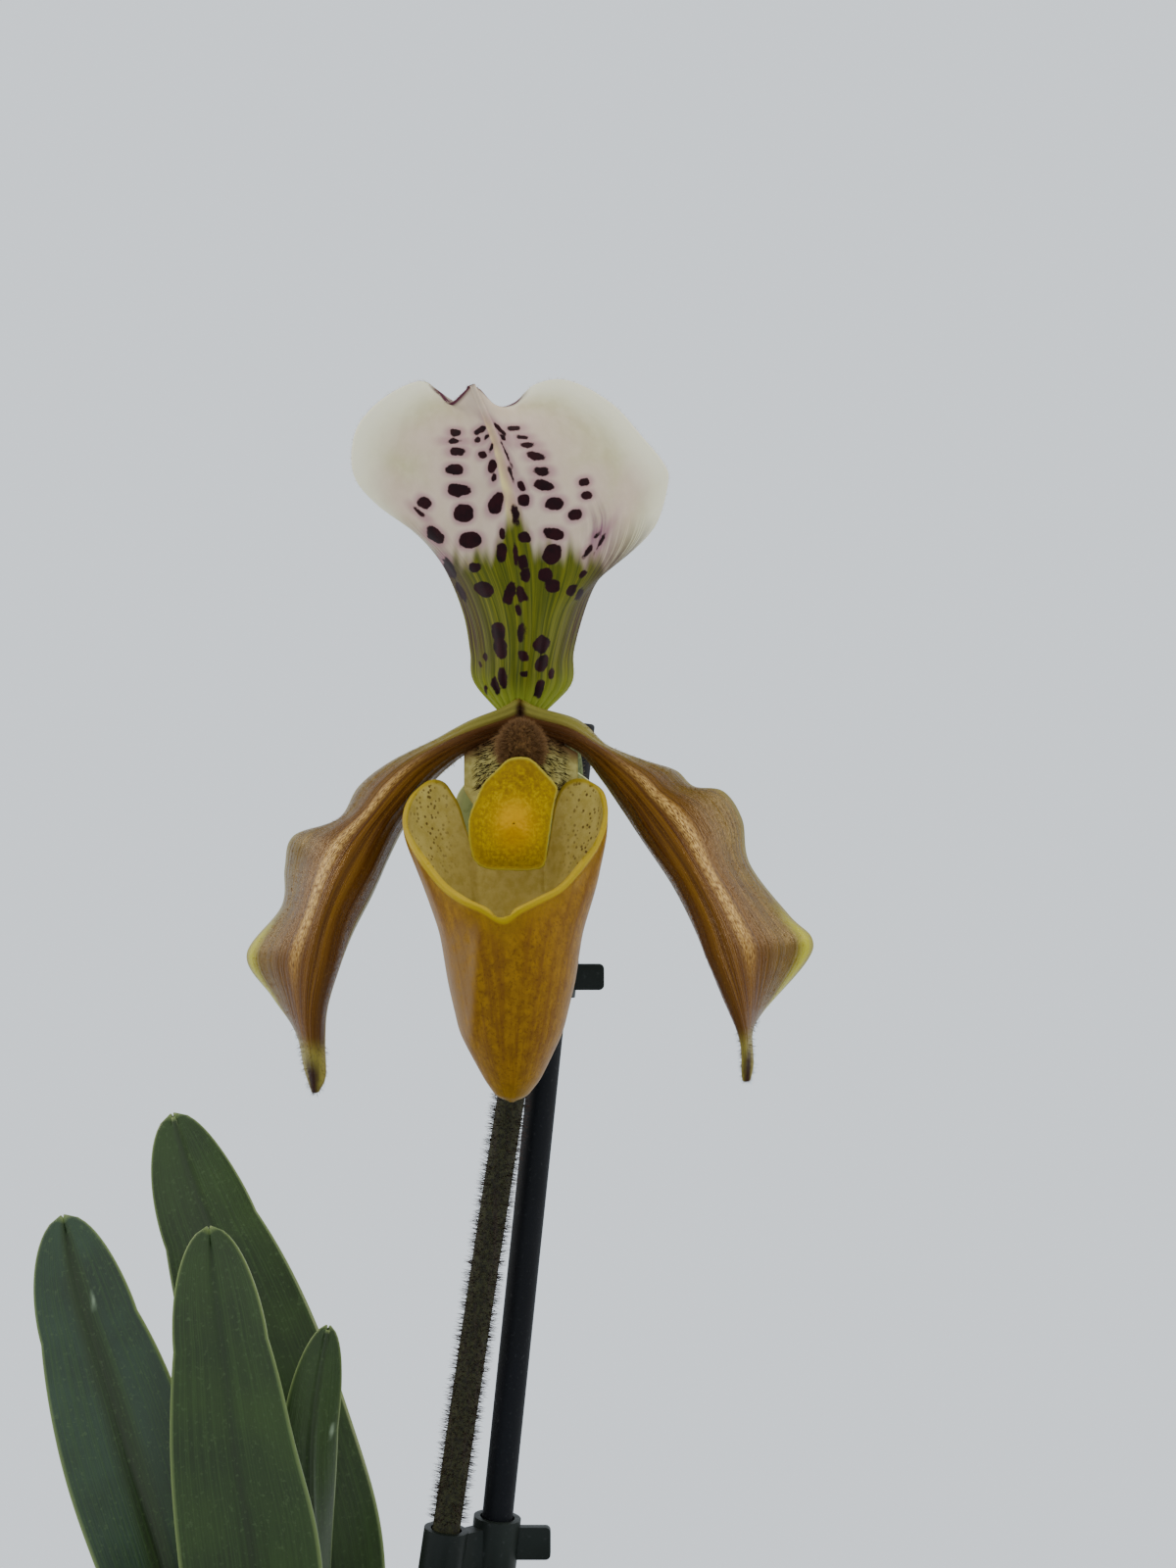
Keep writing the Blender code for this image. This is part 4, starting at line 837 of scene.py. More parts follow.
def synsepal_paint():
    paint = Paint("synsepal", roughness=0.5, subsurface=0.15)
    veins = paint.noise(1.0, 3.0, 0.5, paint.grid(14.0, 1.4))
    speck = paint.noise(900.0, 4.0, 0.6)
    tone = paint.layers(
        rgb(176, 186, 122),
        (rgb(140, 154, 94), paint.band(veins, 0.4, 0.62)),
        (rgb(120, 132, 70), paint.band(speck, 0.5, 0.7), 0.4),
        (rgb(196, 200, 140), paint.band(paint.away(paint.field("u")), 0.86, 0.99)))
    return paint.done(tone, paint.plus(veins, paint.times(speck, 0.3)), 0.15, 0.6)


def bract_paint():
    paint = Paint("bract", roughness=0.5, subsurface=0.1)
    veins = paint.noise(1.0, 3.0, 0.5, paint.grid(16.0, 1.6))
    tone = paint.layers(
        rgb(122, 142, 66),
        (rgb(88, 108, 44), paint.band(veins, 0.4, 0.65)),
        (rgb(92, 52, 56), paint.band(paint.noise(900.0), 0.58, 0.68), 0.6))
    return paint.done(tone, veins, 0.15, 0.6)


def leaf_paint(name, painted_blue_sheen):
    paint = Paint(name, roughness=0.42, specular=0.4, coat=0.08, coat_roughness=0.35,
                  subsurface=0.03, tint=(1.0, 1.0, 0.8))
    veins = paint.noise(1.0, 3.0, 0.5, paint.grid(30.0, 3.0))
    patches = paint.noise(60.0, 4.0, 0.55)
    speck = paint.noise(1400.0, 3.0, 0.6)
    out = paint.away(paint.field("u"))
    patchy = paint.band(patches, 0.3, 0.7)
    # Painted reflection: bluish tones with lighter bluish patches stand in for a sheen of sky light
    # on this leaf; the middle near the channel keeps less of it.
    if painted_blue_sheen:
        tone = paint.layers(rgb(18, 38, 25), (rgb(36, 59, 44), patchy),
                            (rgb(26, 44, 18), paint.fade(out, 0.1, 0.34)))
    else:
        tone = paint.over(rgb(16, 38, 6), rgb(34, 58, 14), patchy)
    tone = paint.layers(
        tone,
        (rgb(46, 74, 28), paint.band(veins, 0.42, 0.68), 0.4),
        (rgb(10, 24, 6), paint.fade(out, 0.0, 0.16), 0.5),
        (rgb(74, 96, 56), paint.band(speck, 0.56, 0.72), 0.35))
    under = paint.over(tone, rgb(66, 90, 42), 0.6)
    tone = paint.layers(
        tone,
        (under, paint.band(paint.field("side"), 0.3, 0.7)),
        (rgb(120, 138, 78), paint.field("margin"), 0.75),
        (rgb(150, 168, 140), paint.field("scar"), 0.6),
        (rgb(140, 150, 76), paint.fade(paint.field("v"), 0.0, 0.12)))
    paint.roughness(paint.plus(paint.times(patches, 0.16), 0.36))
    return paint.done(tone, paint.plus(veins, paint.times(speck, 0.35)), 0.12, 0.55)


def stem_paint(name, light, dark):
    paint = Paint(name, roughness=0.7, subsurface=0.05)
    mottle = paint.noise(2200.0, 4.0, 0.65)
    streaks = paint.noise(1.0, 3.0, 0.5, paint.scaled_place(1400.0, 1400.0, 60.0))
    tone = paint.layers(light, (dark, paint.band(mottle, 0.35, 0.65)),
                        (rgb(58, 40, 44), paint.band(streaks, 0.5, 0.7), 0.3))
    return paint.done(tone, paint.plus(mottle, streaks), 0.2, 0.6)


def crown_paint(name):
    paint = Paint(name, roughness=0.55, subsurface=0.1)
    streaks = paint.noise(1.0, 3.0, 0.6, paint.scaled_place(420.0, 420.0, 50.0))
    tone = paint.over(rgb(140, 150, 84), rgb(100, 112, 58), paint.band(streaks, 0.4, 0.65))
    return paint.done(tone, streaks, 0.3, 0.7)


def hair_paint(name, root, tip, roughness=0.5):
    paint = Paint(name, roughness=roughness, specular=0.1, tint=(1.0, 0.8, 0.6))
    return paint.done(paint.over(root, tip, paint.field("v")))


def plastic_paint(name, dark, light, roughness, scale=900.0):
    paint = Paint(name, roughness=roughness, specular=0.15)
    fine = paint.noise(scale, 4.0, 0.6)
    broad = paint.noise(45.0, 3.0, 0.5)
    tone = paint.layers(dark, (light, paint.band(broad, 0.35, 0.7)),
                        (rgb(64, 66, 66), paint.band(fine, 0.58, 0.75), 0.3))
    paint.roughness(paint.plus(paint.times(broad, 0.2), roughness - 0.08))
    return paint.done(tone, fine, 0.05, 0.5)


def bark_paint():
    paint = Paint("bark", roughness=0.85)
    grain = paint.noise(1.0, 5.0, 0.65, paint.scaled_place(420.0, 420.0, 1500.0))
    mottle = paint.noise(150.0, 5.0, 0.6)
    tone = paint.layers(rgb(92, 58, 38), (rgb(140, 92, 58), paint.band(mottle, 0.35, 0.65)),
                        (rgb(52, 32, 24), paint.band(grain, 0.45, 0.65), 0.7))
    return paint.done(tone, paint.plus(grain, mottle), 0.6, 0.9)


def floor_paint():
    paint = Paint("floor", roughness=0.8)
    return paint.done(paint.over(rgb(206, 208, 210), rgb(212, 213, 214), paint.noise(60.0)))


# Flower


def spot_distance(across, up):
    """Distance in millimetres to the nearest dark spot's edge, below zero inside it."""
    nearest = np.full(across.shape, 20.0)
    for x, z, length, width, turn in SPOTS:
        angle = math.radians(turn)
        dx, dz = across - x, up - z
        main = (dx * math.cos(angle) + dz * math.sin(angle)) / (length / 2.0)
        other = (dz * math.cos(angle) - dx * math.sin(angle)) / (width / 2.0)
        reach = (np.abs(main) ** 2.4 + np.abs(other) ** 2.4) ** (1.0 / 2.4)
        nearest = np.minimum(nearest, (reach - 1.0) * min(length, width) / 2.0)
    return nearest


def build_dorsal():
    rows = blade_rows((DORSAL_LEFT, DORSAL_MIDDLE, DORSAL_RIGHT), 180, 180, 1.6)
    fields = grid_fields(rows)
    u, v = fields["u"], fields["v"]
    rows[..., 1] -= 0.5 * hump(u, 0.035) * ramp(v * 3.0)
    rows[..., 1] += 0.16 * np.sin(u * 34.0) * ramp(1.0 - 1.6 * v)
    depth = rows[..., 1] - CAMERA[1]
    across = (rows[..., 0] - CAMERA[0]) * FLOWER_DEPTH / depth
    up = (rows[..., 2] - CAMERA[2]) * FLOWER_DEPTH / depth
    top = 36.8 + 5.5 * hump(across + 10.6, 1.5) - 0.02 * (across + 9.0) ** 2
    ripple = 1.3 * np.sin(across * 1.9) + 0.8 * np.sin(across * 4.3 + 1.0)
    width = np.linalg.norm(rows[:, -1] - rows[:, 0], axis=1)[:, None]
    inside = (1.0 - np.abs(u)) * width / 2.0
    fields["spot"] = spot_distance(across, up)
    fields["green"] = ramp((top + 0.6 * ripple - up) / 4.5)
    fields["stain"] = hump(across - 1.6, 1.8) * hump(up - 36.6, 3.6)
    fields["neck"] = ramp((39.0 - up) / 6.0)
    fields["tip"] = ramp((v - 0.8) / 0.15)
    fields["hem"] = ramp(1.6 - inside / 0.6) * ramp((v - 0.83) / 0.04)
    mesh = sheet_mesh("dorsal_sepal_detail", rows, blade_thickness(u, 0.75), fields)
    finish_piece("dorsal_sepal_detail", mesh, dorsal_paint(), "dorsal_white", "dorsal_sepal")
    return rows


def build_petal(node, lines, mirror):
    name = node + "_detail"
    rows = blade_rows(lines, 190, 56)
    fields = grid_fields(rows)
    u, v = fields["u"], fields["v"]
    facing = -1.0 if mirror else 1.0
    normal = surface_normals(rows) * facing
    middle = np.abs(rows[..., 0] - FLOWER[0])
    lift = ramp((0.2 - u) / 1.2) * hump(middle, 5.5)
    peak = ramp((0.4 - u) / 1.4) * hump(middle, 2.2)
    rows[..., 0] -= facing * 0.9 * hump(v, 0.05)
    rows[..., 1] -= lift
    rows[..., 2] += 2.1 * lift + peak
    ribs = 0.06 * np.sin(u * 21.0 + 1.5 * v) * ramp(1.0 - v ** 3)
    groove = 0.22 * hump(u - 0.12, 0.09) * ramp(1.15 - v)
    rows = rows + normal * (ribs - groove)[:, :, None]
    mesh = sheet_mesh(name, rows, blade_thickness(u, 0.75), fields, flip=mirror)
    finish_piece(name, mesh, petal_paint(name), "petal_brown", node)
    return rows


def pouch_body_point(height, turn):
    """A place on the pouch's body; the turn starts at the front and goes round by the right."""
    heights = [level[0] for level in POUCH_BODY]
    middle, half, front, back = [
        float(np.interp(height, heights, [level[k] for level in POUCH_BODY])) for k in range(1, 5)]
    centre = (front + back) / 2.0
    depth = (back - front) / 2.0
    return np.array([middle + half * math.sin(turn), centre - depth * math.cos(turn), height])


def pouch_rows(columns, levels):
    """Rows from the rim down to the toe, and the turn of each column at the rim."""
    rim = closed_line(POUCH_RIM, columns)
    turns = [math.atan2(x + 0.8, -11.0 - y) % (2.0 * math.pi) for x, y, _ in rim]
    turns[0] = 0.0
    toe, toe_middle = POUCH_BODY[0][:2]
    rows = []
    for level in range(levels + 1):
        t = math.sin(level / levels * math.pi / 2.0)
        share = 0.55 * min(t * 2.0, 1.0)
        row = []
        for place, turn, even in zip(rim, turns, lap_angles(columns)):
            off = place - pouch_body_point(place[2], turn)
            height = place[2] + (toe - place[2]) * t
            body = pouch_body_point(height, turn * (1.0 - share) + even * share)
            row.append(body + off * (1.0 - t) ** 3)
        rows.append(row)
    rows = np.array(rows)
    rows[-1] = (toe_middle, -19.0, toe - 0.2)
    smooth = rows.copy()
    for _ in range(6):
        smooth[1:-1] = (smooth[:-2] + smooth[1:-1] * 2.0 + smooth[2:]) / 4.0
        smooth = (np.roll(smooth, 1, axis=1) + smooth * 2.0 + np.roll(smooth, -1, axis=1)) / 4.0
        smooth[-1] = rows[-1]
    smooth[0] = rows[0]
    return smooth, np.array(turns)


def build_pouch():
    rows, turns = pouch_rows(230, 90)
    fields = grid_fields(rows)
    steps = np.linalg.norm(np.diff(rows, axis=0), axis=2)
    rim = np.vstack([np.zeros_like(steps[:1]), np.cumsum(steps, axis=0)])
    around = np.where(turns > math.pi, turns - 2.0 * math.pi, turns)[None, :] / math.pi
    x, y, z = rows[..., 0], rows[..., 1], rows[..., 2]
    crease_x = -4.4 - 0.07 * (-27.0 - z)
    crease = 0.5 * hump(x - crease_x, 0.8) * ramp(-(y + 15.0) / 5.0)
    y -= crease * ramp((-27.0 - z) / 4.0) * ramp((z + 46.0) / 6.0)
    front = ramp(-(y + 12.0) / 6.0)
    y -= 0.5 * hump(rim, 0.9) * front
    ear = ramp(1.0 - np.abs(np.abs(x + 1.5) - 11.5) / 4.5) * ramp((z + 24.0) / 5.0)
    # Painted sheen: the strip left of the crease where a reflection is painted into the pouch's
    # colour.
    sheen = ramp((crease_x - x + 0.3) / 0.5) * ramp((x - crease_x + 5.0) / 1.5)
    sheen = sheen * ramp((z + 47.0) / 8.0) * ramp((-25.5 - z) / 4.0) * ramp(-(y + 12.0) / 4.0)
    fields.update(u=np.broadcast_to(around, z.shape), rim=rim, ear=ear, sheen=sheen)
    thickness = 0.7 + 0.5 * hump(rim, 0.7) * front
    mesh = sheet_mesh("pouch_detail", rows + FLOWER, thickness, fields, wrap=True, flip=True)
    finish_piece("pouch_detail", mesh, pouch_paint(), "pouch_yellow", "pouch")
    return rows + FLOWER


def build_staminode():
    edge = closed_line([(x, 0.0, z) for x, z in STAMINODE_OUTLINE], 140)
    centre = np.array([STAMINODE_MIDDLE[0], 0.0, STAMINODE_MIDDLE[1]])
    rows, fields = [], {"reach": [], "top": [], "glow": []}
    for reach in np.linspace(0.02, 1.0, 44):
        dome = 1.4 * reach ** 2
        boss = -0.8 * math.exp(-(reach / 0.25) ** 2)
        ring = centre + (edge - centre) * reach
        for place in ring:
            bumps = noise.noise(Vector((place[0] * 2.6, 3.0, place[2] * 2.6)))
            place[1] = STAMINODE_FRONT + dome + boss - 0.08 * bumps * (1.0 - 0.5 * reach)
            place[1] -= 0.25 * max(reach - 0.9, 0.0) / 0.1
        rows.append(ring)
        away = np.hypot(ring[:, 0] + 0.2, (ring[:, 2] + 13.6) * 0.8)
        fields["reach"].append(np.full(len(ring), reach))
        fields["top"].append(ramp((ring[:, 2] + 11.0) / 4.5))
        fields["glow"].append(ramp(1.0 - away / 4.6))
    mesh = sheet_mesh("staminode_detail", np.array(rows) + FLOWER, 0.9, fields, True, True)
    edited(mesh, lambda data: bmesh.ops.collapse(
        data, edges=[side for side in data.edges if side.calc_length() < SHORT_EDGE]))
    finish_piece("staminode_detail", mesh, staminode_paint(), "staminode_yellow", "staminode")


def build_column():
    data = bmesh.new()
    bmesh.ops.create_uvsphere(data, u_segments=72, v_segments=48, radius=1.0)
    for vertex in data.verts:
        swell = 1.0 + 0.05 * noise.noise(vertex.co * 3.0)
        place = vertex.co * Vector(COLUMN_RADII) * swell
        vertex.co = (place + Vector(COLUMN_MIDDLE) + Vector(FLOWER)) * MM
    mesh = mesh_of("column_detail", data)
    finish_piece("column_detail", mesh, column_paint(), "column_brown", "column")


def build_shoulders():
    """Soft olive wings on both sides of the column, under the petals."""
    paint = shoulder_paint()
    t, w = np.meshgrid(np.linspace(0.0, 1.0, 31), np.linspace(0.0, 1.0, 31), indexing="ij")
    out = 0.8 + 7.4 * w
    top = 298.6 - 0.42 * out - 0.01 * out * out
    bottom = 284.5 + 1.6 * w + 3.0 * w ** 4
    bulge = 1.1 * np.sin(math.pi * np.minimum(w * 1.1, 1.0)) * np.sin(math.pi * t)
    grids = []
    for name, side in (("shoulder_left", -1.0), ("shoulder_right", 1.0)):
        rows = np.stack([FLOWER[0] + 0.3 + side * out, -20.6 + 1.2 * w - bulge,
                         top + (bottom - top) * t], axis=2)
        finish_piece(name, sheet_mesh(name, rows, 0.5, grid_fields(rows)), paint, "column_brown")
        grids.append(rows)
    return grids


def build_synsepal():
    rows = blade_rows((SYNSEPAL_LEFT, SYNSEPAL_MIDDLE, SYNSEPAL_RIGHT), 80, 50)
    fields = grid_fields(rows)
    rows[..., 1] += 0.12 * np.sin(fields["u"] * 24.0)
    mesh = sheet_mesh("synsepal_detail", rows, blade_thickness(fields["u"], 0.7), fields)
    finish_piece("synsepal_detail", mesh, synsepal_paint(), "synsepal_green", "synsepal")


def build_ovary_and_bract():
    mesh = tube_mesh("ovary_detail", OVARY_PATH, 48, 120, 6, 0.05)
    green = stem_paint("ovary", rgb(112, 124, 76), rgb(72, 82, 46))
    finish_piece("ovary_detail", mesh, green, "ovary_green", "ovary")
    line = smooth_line(OVARY_PATH, 400)[:170]
    rows = []
    for t in np.linspace(0.0, 1.0, 61):
        height = BRACT_FOOT + BRACT_HEIGHT * t
        centre = [float(np.interp(height, line[:, 2], line[:, k])) for k in range(2)]
        opening = math.radians(118.0 * (1.0 - 0.82 * t ** 1.6))
        row = []
        for step in range(-20, 21):
            keel = 0.35 * math.exp(-(step / 2.5) ** 2)
            turn = math.radians(215.0) + opening * step / 20.0
            row.append((*turned(turn, BRACT_RADIUS + t + keel, centre), height))
        rows.append(row)
    rows = np.array(rows)
    mesh = sheet_mesh("bract_detail", rows, 0.6, grid_fields(rows))
    finish_piece("bract_detail", mesh, bract_paint(), "bract_green", "bract")


# Leaves


def leaf_rows(stations, along, across):
    line = smooth_line(stations, along)
    for _ in range(72):
        line[1:-1] = (line[:-2] + 2.0 * line[1:-1] + line[2:]) / 4.0
    tip_start = int(along * 0.86)
    tip_width, tip_channel = line[tip_start][3:5]
    rows = []
    for index, (x, y, z, half_width, channel, facing) in enumerate(line):
        ahead = Vector(line[min(index + 1, along)][:3] - line[max(index - 1, 0)][:3])
        axis = ahead.normalized()
        side = Vector((*turned(math.radians(facing), 1.0), 0.0))
        side = (side - axis * side.dot(axis)).normalized()
        face = axis.cross(side) * -1.0
        pull = 0.0
        if index > tip_start:
            t = (index - tip_start) / (along - tip_start)
            half_width = max(tip_width * max(1.0 - t ** 1.7, 0.0) ** 0.5, 0.4)
            channel = tip_channel * (1.0 - t)
            pull = 0.8 * max(t - 0.8, 0.0) / 0.2
        row = []
        for step in range(across + 1):
            u = -1.0 + 2.0 * step / across
            crease = -0.3 * math.exp(-(u / 0.1) ** 2) * math.copysign(1.0, channel)
            offset = side * (half_width * u) + face * (channel * abs(u) ** 1.4 + crease)
            notch = axis * (-pull * math.exp(-(u / 0.3) ** 2))
            row.append(tuple(Vector((x, y, z)) + offset + notch))
        rows.append(row)
    return np.array(rows)


def low_leaf_stations(heading, tip_heading, length, rise, droop):
    """A leaf that climbs out of the crown, bends over and hangs a little at its tip."""
    stations = []
    x, y = turned(math.radians(heading), CROWN_A_RADIUS + 0.8)
    steps = 9
    for index in range(steps + 1):
        t = index / steps
        climb = rise * math.sin(min(t / 0.62, 1.0) * math.pi / 2.0) ** 0.8
        fall = droop * max(t - 0.62, 0.0) ** 1.5 / 0.38 ** 1.5
        width = LEAF_A_HALF_WIDTH * (0.31 + 0.69 * min(t / 0.4, 1.0) ** 1.3)
        if t > 0.72:
            width *= math.sqrt(max(1.0 - ((t - 0.72) / 0.285) ** 2, 0.0))
        turn = heading + (tip_heading - heading) * t
        stations.append((x, y, 3.0 + climb - fall, max(width, 1.2), 1.4 + 4.8 * t * (1.0 - t),
                         turn - 90.0))
        pace = length / steps * (0.35 + 0.65 * min(t / 0.35, 1.0)) * 1.2
        x, y = turned(math.radians(turn), pace, (x, y))
    return stations


def build_leaf(node, stations, origin, painted_blue_sheen):
    rows = leaf_rows(stations, 132, 34) + np.array([*origin, BARK_TOP])
    fields = grid_fields(rows)
    u, v = fields["u"], fields["v"]
    width = np.linalg.norm(rows[:, -1] - rows[:, 0], axis=1)[:, None] / 2.0
    edge = (1.0 - np.abs(u)) * width
    end = (1.0 - v) * np.linalg.norm(np.diff(rows[:, rows.shape[1] // 2], axis=0), axis=1).sum()
    fields["margin"] = ramp(1.0 - np.minimum(edge, end) / 0.4)
    fields["scar"] = np.zeros(u.shape)
    for scar_u, scar_v, reach_u, reach_v in SCARS.get(node, []):
        away = np.hypot((u - scar_u - 2.5 * (v - scar_v)) / reach_u, (v - scar_v) / reach_v)
        fields["scar"] = np.maximum(fields["scar"], ramp(1.6 - away * 1.6))
    name = node + "_detail"
    mesh = sheet_mesh(name, rows, blade_thickness(u, 0.8, 0.45, 6), fields)
    finish_piece(name, mesh, leaf_paint(name, painted_blue_sheen), "leaf_green", node)


# Stem, stake and clips


def stake_point(height):
    x, y, top = STAKE_TOP
    return Vector((x - (top - height) * STAKE_LEAN, y, height))


def stem_point(height):
    line = smooth_line(STEM_PATH, 200)
    return Vector([float(np.interp(height, line[:, 2], line[:, k])) for k in range(3)])


def build_stem():
    mesh = tube_mesh("scape_detail", [(*place, STEM_RADIUS) for place in STEM_PATH], 40, 240)
    paint = stem_paint("scape", rgb(54, 54, 30), rgb(30, 28, 20))
    finish_piece("scape_detail", mesh, paint, "stem_green", "scape")
    draw = random.Random(SEED)
    hairs = Hairs("scape_hairs", draw)
    line = smooth_line(STEM_PATH, 400)
    for _ in range(hairs.count):
        t = draw.uniform(0.14, 1.0) * 399.0
        low = int(t)
        step = Vector(line[low + 1] - line[low])
        place = Vector(line[low]) + step * (t - low)
        axis = step.normalized()
        side = turned_side(axis, draw.uniform(0.0, 2.0 * math.pi))
        if any(abs(place.z - clip[0]) < clip[1] / 2.0 + 1.2 for clip in CLIPS.values()):
            continue
        lean = axis * draw.uniform(-0.25, 0.35) + side.cross(axis) * draw.uniform(-0.3, 0.3)
        hairs.add(place + side * (STEM_RADIUS - HAIR_SINK), side + lean)
    hairs.finish(hair_paint("stem hairs", rgb(42, 32, 26), rgb(70, 52, 46)), "stem_green")
    hairs = Hairs("ovary_hairs", draw)
    line = smooth_line(OVARY_PATH, 300)
    for _ in range(hairs.count):
        low = int(draw.uniform(0.02, 0.97) * 299.0)
        axis = Vector(line[low + 1][:3] - line[low][:3]).normalized()
        side = turned_side(axis, draw.uniform(0.0, 2.0 * math.pi))
        root = Vector(line[low][:3]) + side * (line[low][3] - HAIR_SINK)
        hairs.add(root, side + axis * draw.uniform(-0.2, 0.4))
    hairs.finish(hair_paint("ovary hairs", rgb(96, 84, 60), rgb(150, 140, 112)), "ovary_green")


def round_bar(data, radius, start, end, sides):
    reach = end - start
    made = bmesh.ops.create_cone(data, cap_ends=True, segments=sides, radius1=radius,
                                 radius2=radius, depth=reach.length)
    turn = Vector((0.0, 0.0, 1.0)).rotation_difference(reach.normalized()).to_matrix().to_4x4()
    matrix = Matrix.Translation((start + end) / 2.0) @ turn
    bmesh.ops.transform(data, matrix=matrix, verts=made["verts"])


def block(length, width, height):
    data = bmesh.new()
    bmesh.ops.create_cube(data, size=1.0)
    bmesh.ops.scale(data, vec=(length, width, height), verts=data.verts)
    return data


def temporary(name, data):
    """A helper object for a Boolean, in metres from a mesh in millimetres."""
    bmesh.ops.scale(data, vec=(MM, MM, MM), verts=data.verts)
    return linked(name, mesh_of(name, data))


def bar_form(radius, start, end, sides=56):
    data = bmesh.new()
    round_bar(data, radius, start, end, sides)
    return temporary("bar", data)


def joined(item, helpers, bevel=None):
    """The mesh of an object after its Booleans and its bevel; the objects are removed."""
    for helper, operation in helpers:
        boolean = item.modifiers.new(operation.lower(), "BOOLEAN")
        boolean.operation = operation
        boolean.solver = "EXACT"
        boolean.object = helper
    if bevel:
        soft = item.modifiers.new("bevel", "BEVEL")
        soft.width, soft.segments = bevel[0] * MM, bevel[1]
        soft.limit_method = "ANGLE"
        soft.angle_limit = math.radians(40.0)
    graph = bpy.context.evaluated_depsgraph_get()
    mesh = bpy.data.meshes.new_from_object(item.evaluated_get(graph))
    for used in (item, *(helper for helper, _ in helpers)):
        bpy.data.objects.remove(used, do_unlink=True)
    return mesh


def build_stake():
    bar = bar_form(STAKE_RADIUS, stake_point(STAKE_FOOT), Vector(STAKE_TOP), 64)
    paint = plastic_paint("stake plastic", rgb(7, 8, 12), rgb(13, 15, 20), 0.55, 1600.0)
    finish_piece("stake_detail", joined(bar, [], (0.5, 4)), paint, "stake_plastic", "stake")


def build_clip(name):
    height, ring_height, tab_length, tab_height = CLIPS[name]
    low, high = height - ring_height / 2.0, height + ring_height / 2.0
    stem = (STEM_RADIUS + FIT_GAP, stem_point(low), stem_point(high))
    stake = (STAKE_RADIUS + FIT_GAP, stake_point(low), stake_point(high))
    clip, ring = [bar_form(hole + CLIP_WALL, foot, top) for hole, foot, top in (stem, stake)]
    stem_middle, stake_middle = [(foot + top) / 2.0 for _, foot, top in (stem, stake)]
    reach = stake_middle - stem_middle
    bridge_length = max(reach.length - stem[0] - stake[0], 0.6)
    bridge = block(bridge_length + 0.6, 3.0, ring_height * 0.72)
    middle = stem_middle + reach.normalized() * (stem[0] + 0.2 + bridge_length / 2.0)
    turn = Matrix.Rotation(math.atan2(reach.y, reach.x), 4, "Z")
    bmesh.ops.transform(bridge, matrix=Matrix.Translation(middle) @ turn, verts=bridge.verts)
    tab = block(tab_length, 1.6, tab_height)
    corners = [edge for edge in tab.edges
               if abs(edge.verts[0].co.y - edge.verts[1].co.y) > 1.0 and edge.verts[0].co.x > 0.0]
    bmesh.ops.bevel(tab, geom=corners, offset=0.8, segments=5, profile=0.5, affect="EDGES")
    place = stake_middle + Vector((stake[0] + tab_length / 2.0, 0.0, 0.0))
    bmesh.ops.translate(tab, vec=place, verts=tab.verts)
    helpers = [(ring, "UNION"), (temporary("bridge", bridge), "UNION"),
               (temporary("tab", tab), "UNION")]
    for hole, foot, top in (stem, stake):
        beyond = (top - foot).normalized() * 3.0
        helpers.append((bar_form(hole, foot - beyond, top + beyond), "DIFFERENCE"))
    mesh = crisp_edges(joined(clip, helpers, (0.22, 3)))
    paint = plastic_paint(name + " plastic", rgb(20, 25, 22), rgb(31, 37, 33), 0.42)
    finish_piece(name + "_detail", mesh, paint, "clip_plastic", name)


# Pot, bark and crowns


def rounded(corners, radius, steps=5):
    """A profile with its inner corners rounded."""
    path = [corners[0]]
    for before, corner, after in zip(corners, corners[1:], corners[2:]):
        here = Vector(corner)
        back, ahead = Vector(before) - here, Vector(after) - here
        reach = min(radius, back.length * 0.45, ahead.length * 0.45)
        start, end = here + back.normalized() * reach, here + ahead.normalized() * reach
        for step in range(steps + 1):
            t = step / steps
            path.append(tuple(start.lerp(here, t).lerp(here.lerp(end, t), t)))
    path.append(corners[-1])
    return path


def build_pot():
    lip_low = POT_HEIGHT - POT_LIP_HEIGHT
    profile = rounded([
        (0.0, 0.0), (POT_BASE_RADIUS, 0.0), (POT_BASE_RADIUS + POT_SLOPE * lip_low, lip_low),
        (POT_TOP_RADIUS, lip_low + 0.3), (POT_TOP_RADIUS, POT_HEIGHT), (POT_INNER_TOP, POT_HEIGHT),
        (POT_INNER_BASE, POT_FLOOR), (0.0, POT_FLOOR)], 1.0)
    form = linked("pot_form", turned_mesh("pot_detail", profile, 144))
    data = bmesh.new()
    for angle in lap_angles(DRAIN_COUNT):
        x, y = turned(angle + math.radians(45.0), DRAIN_RING)
        round_bar(data, DRAIN_RADIUS, Vector((x, y, -2.0)), Vector((x, y, POT_FLOOR + 2.0)), 32)
    mesh = crisp_edges(joined(form, [(temporary("drains", data), "DIFFERENCE")]))
    paint = plastic_paint("pot plastic", rgb(24, 25, 26), rgb(36, 37, 38), 0.5, 700.0)
    finish_piece("pot_detail", mesh, paint, "pot_plastic", "pot")


def chip_block():
    """Corners and faces of a unit block whose sides are split into thirds."""
    data = block(1.0, 1.0, 1.0)
    bmesh.ops.subdivide_edges(data, edges=data.edges[:], cuts=2, use_grid_fill=True)
    data.verts.index_update()
    points = [vertex.co.copy() for vertex in data.verts]
    faces = [[vertex.index for vertex in face.verts] for face in data.faces]
    data.free()
    return points, faces


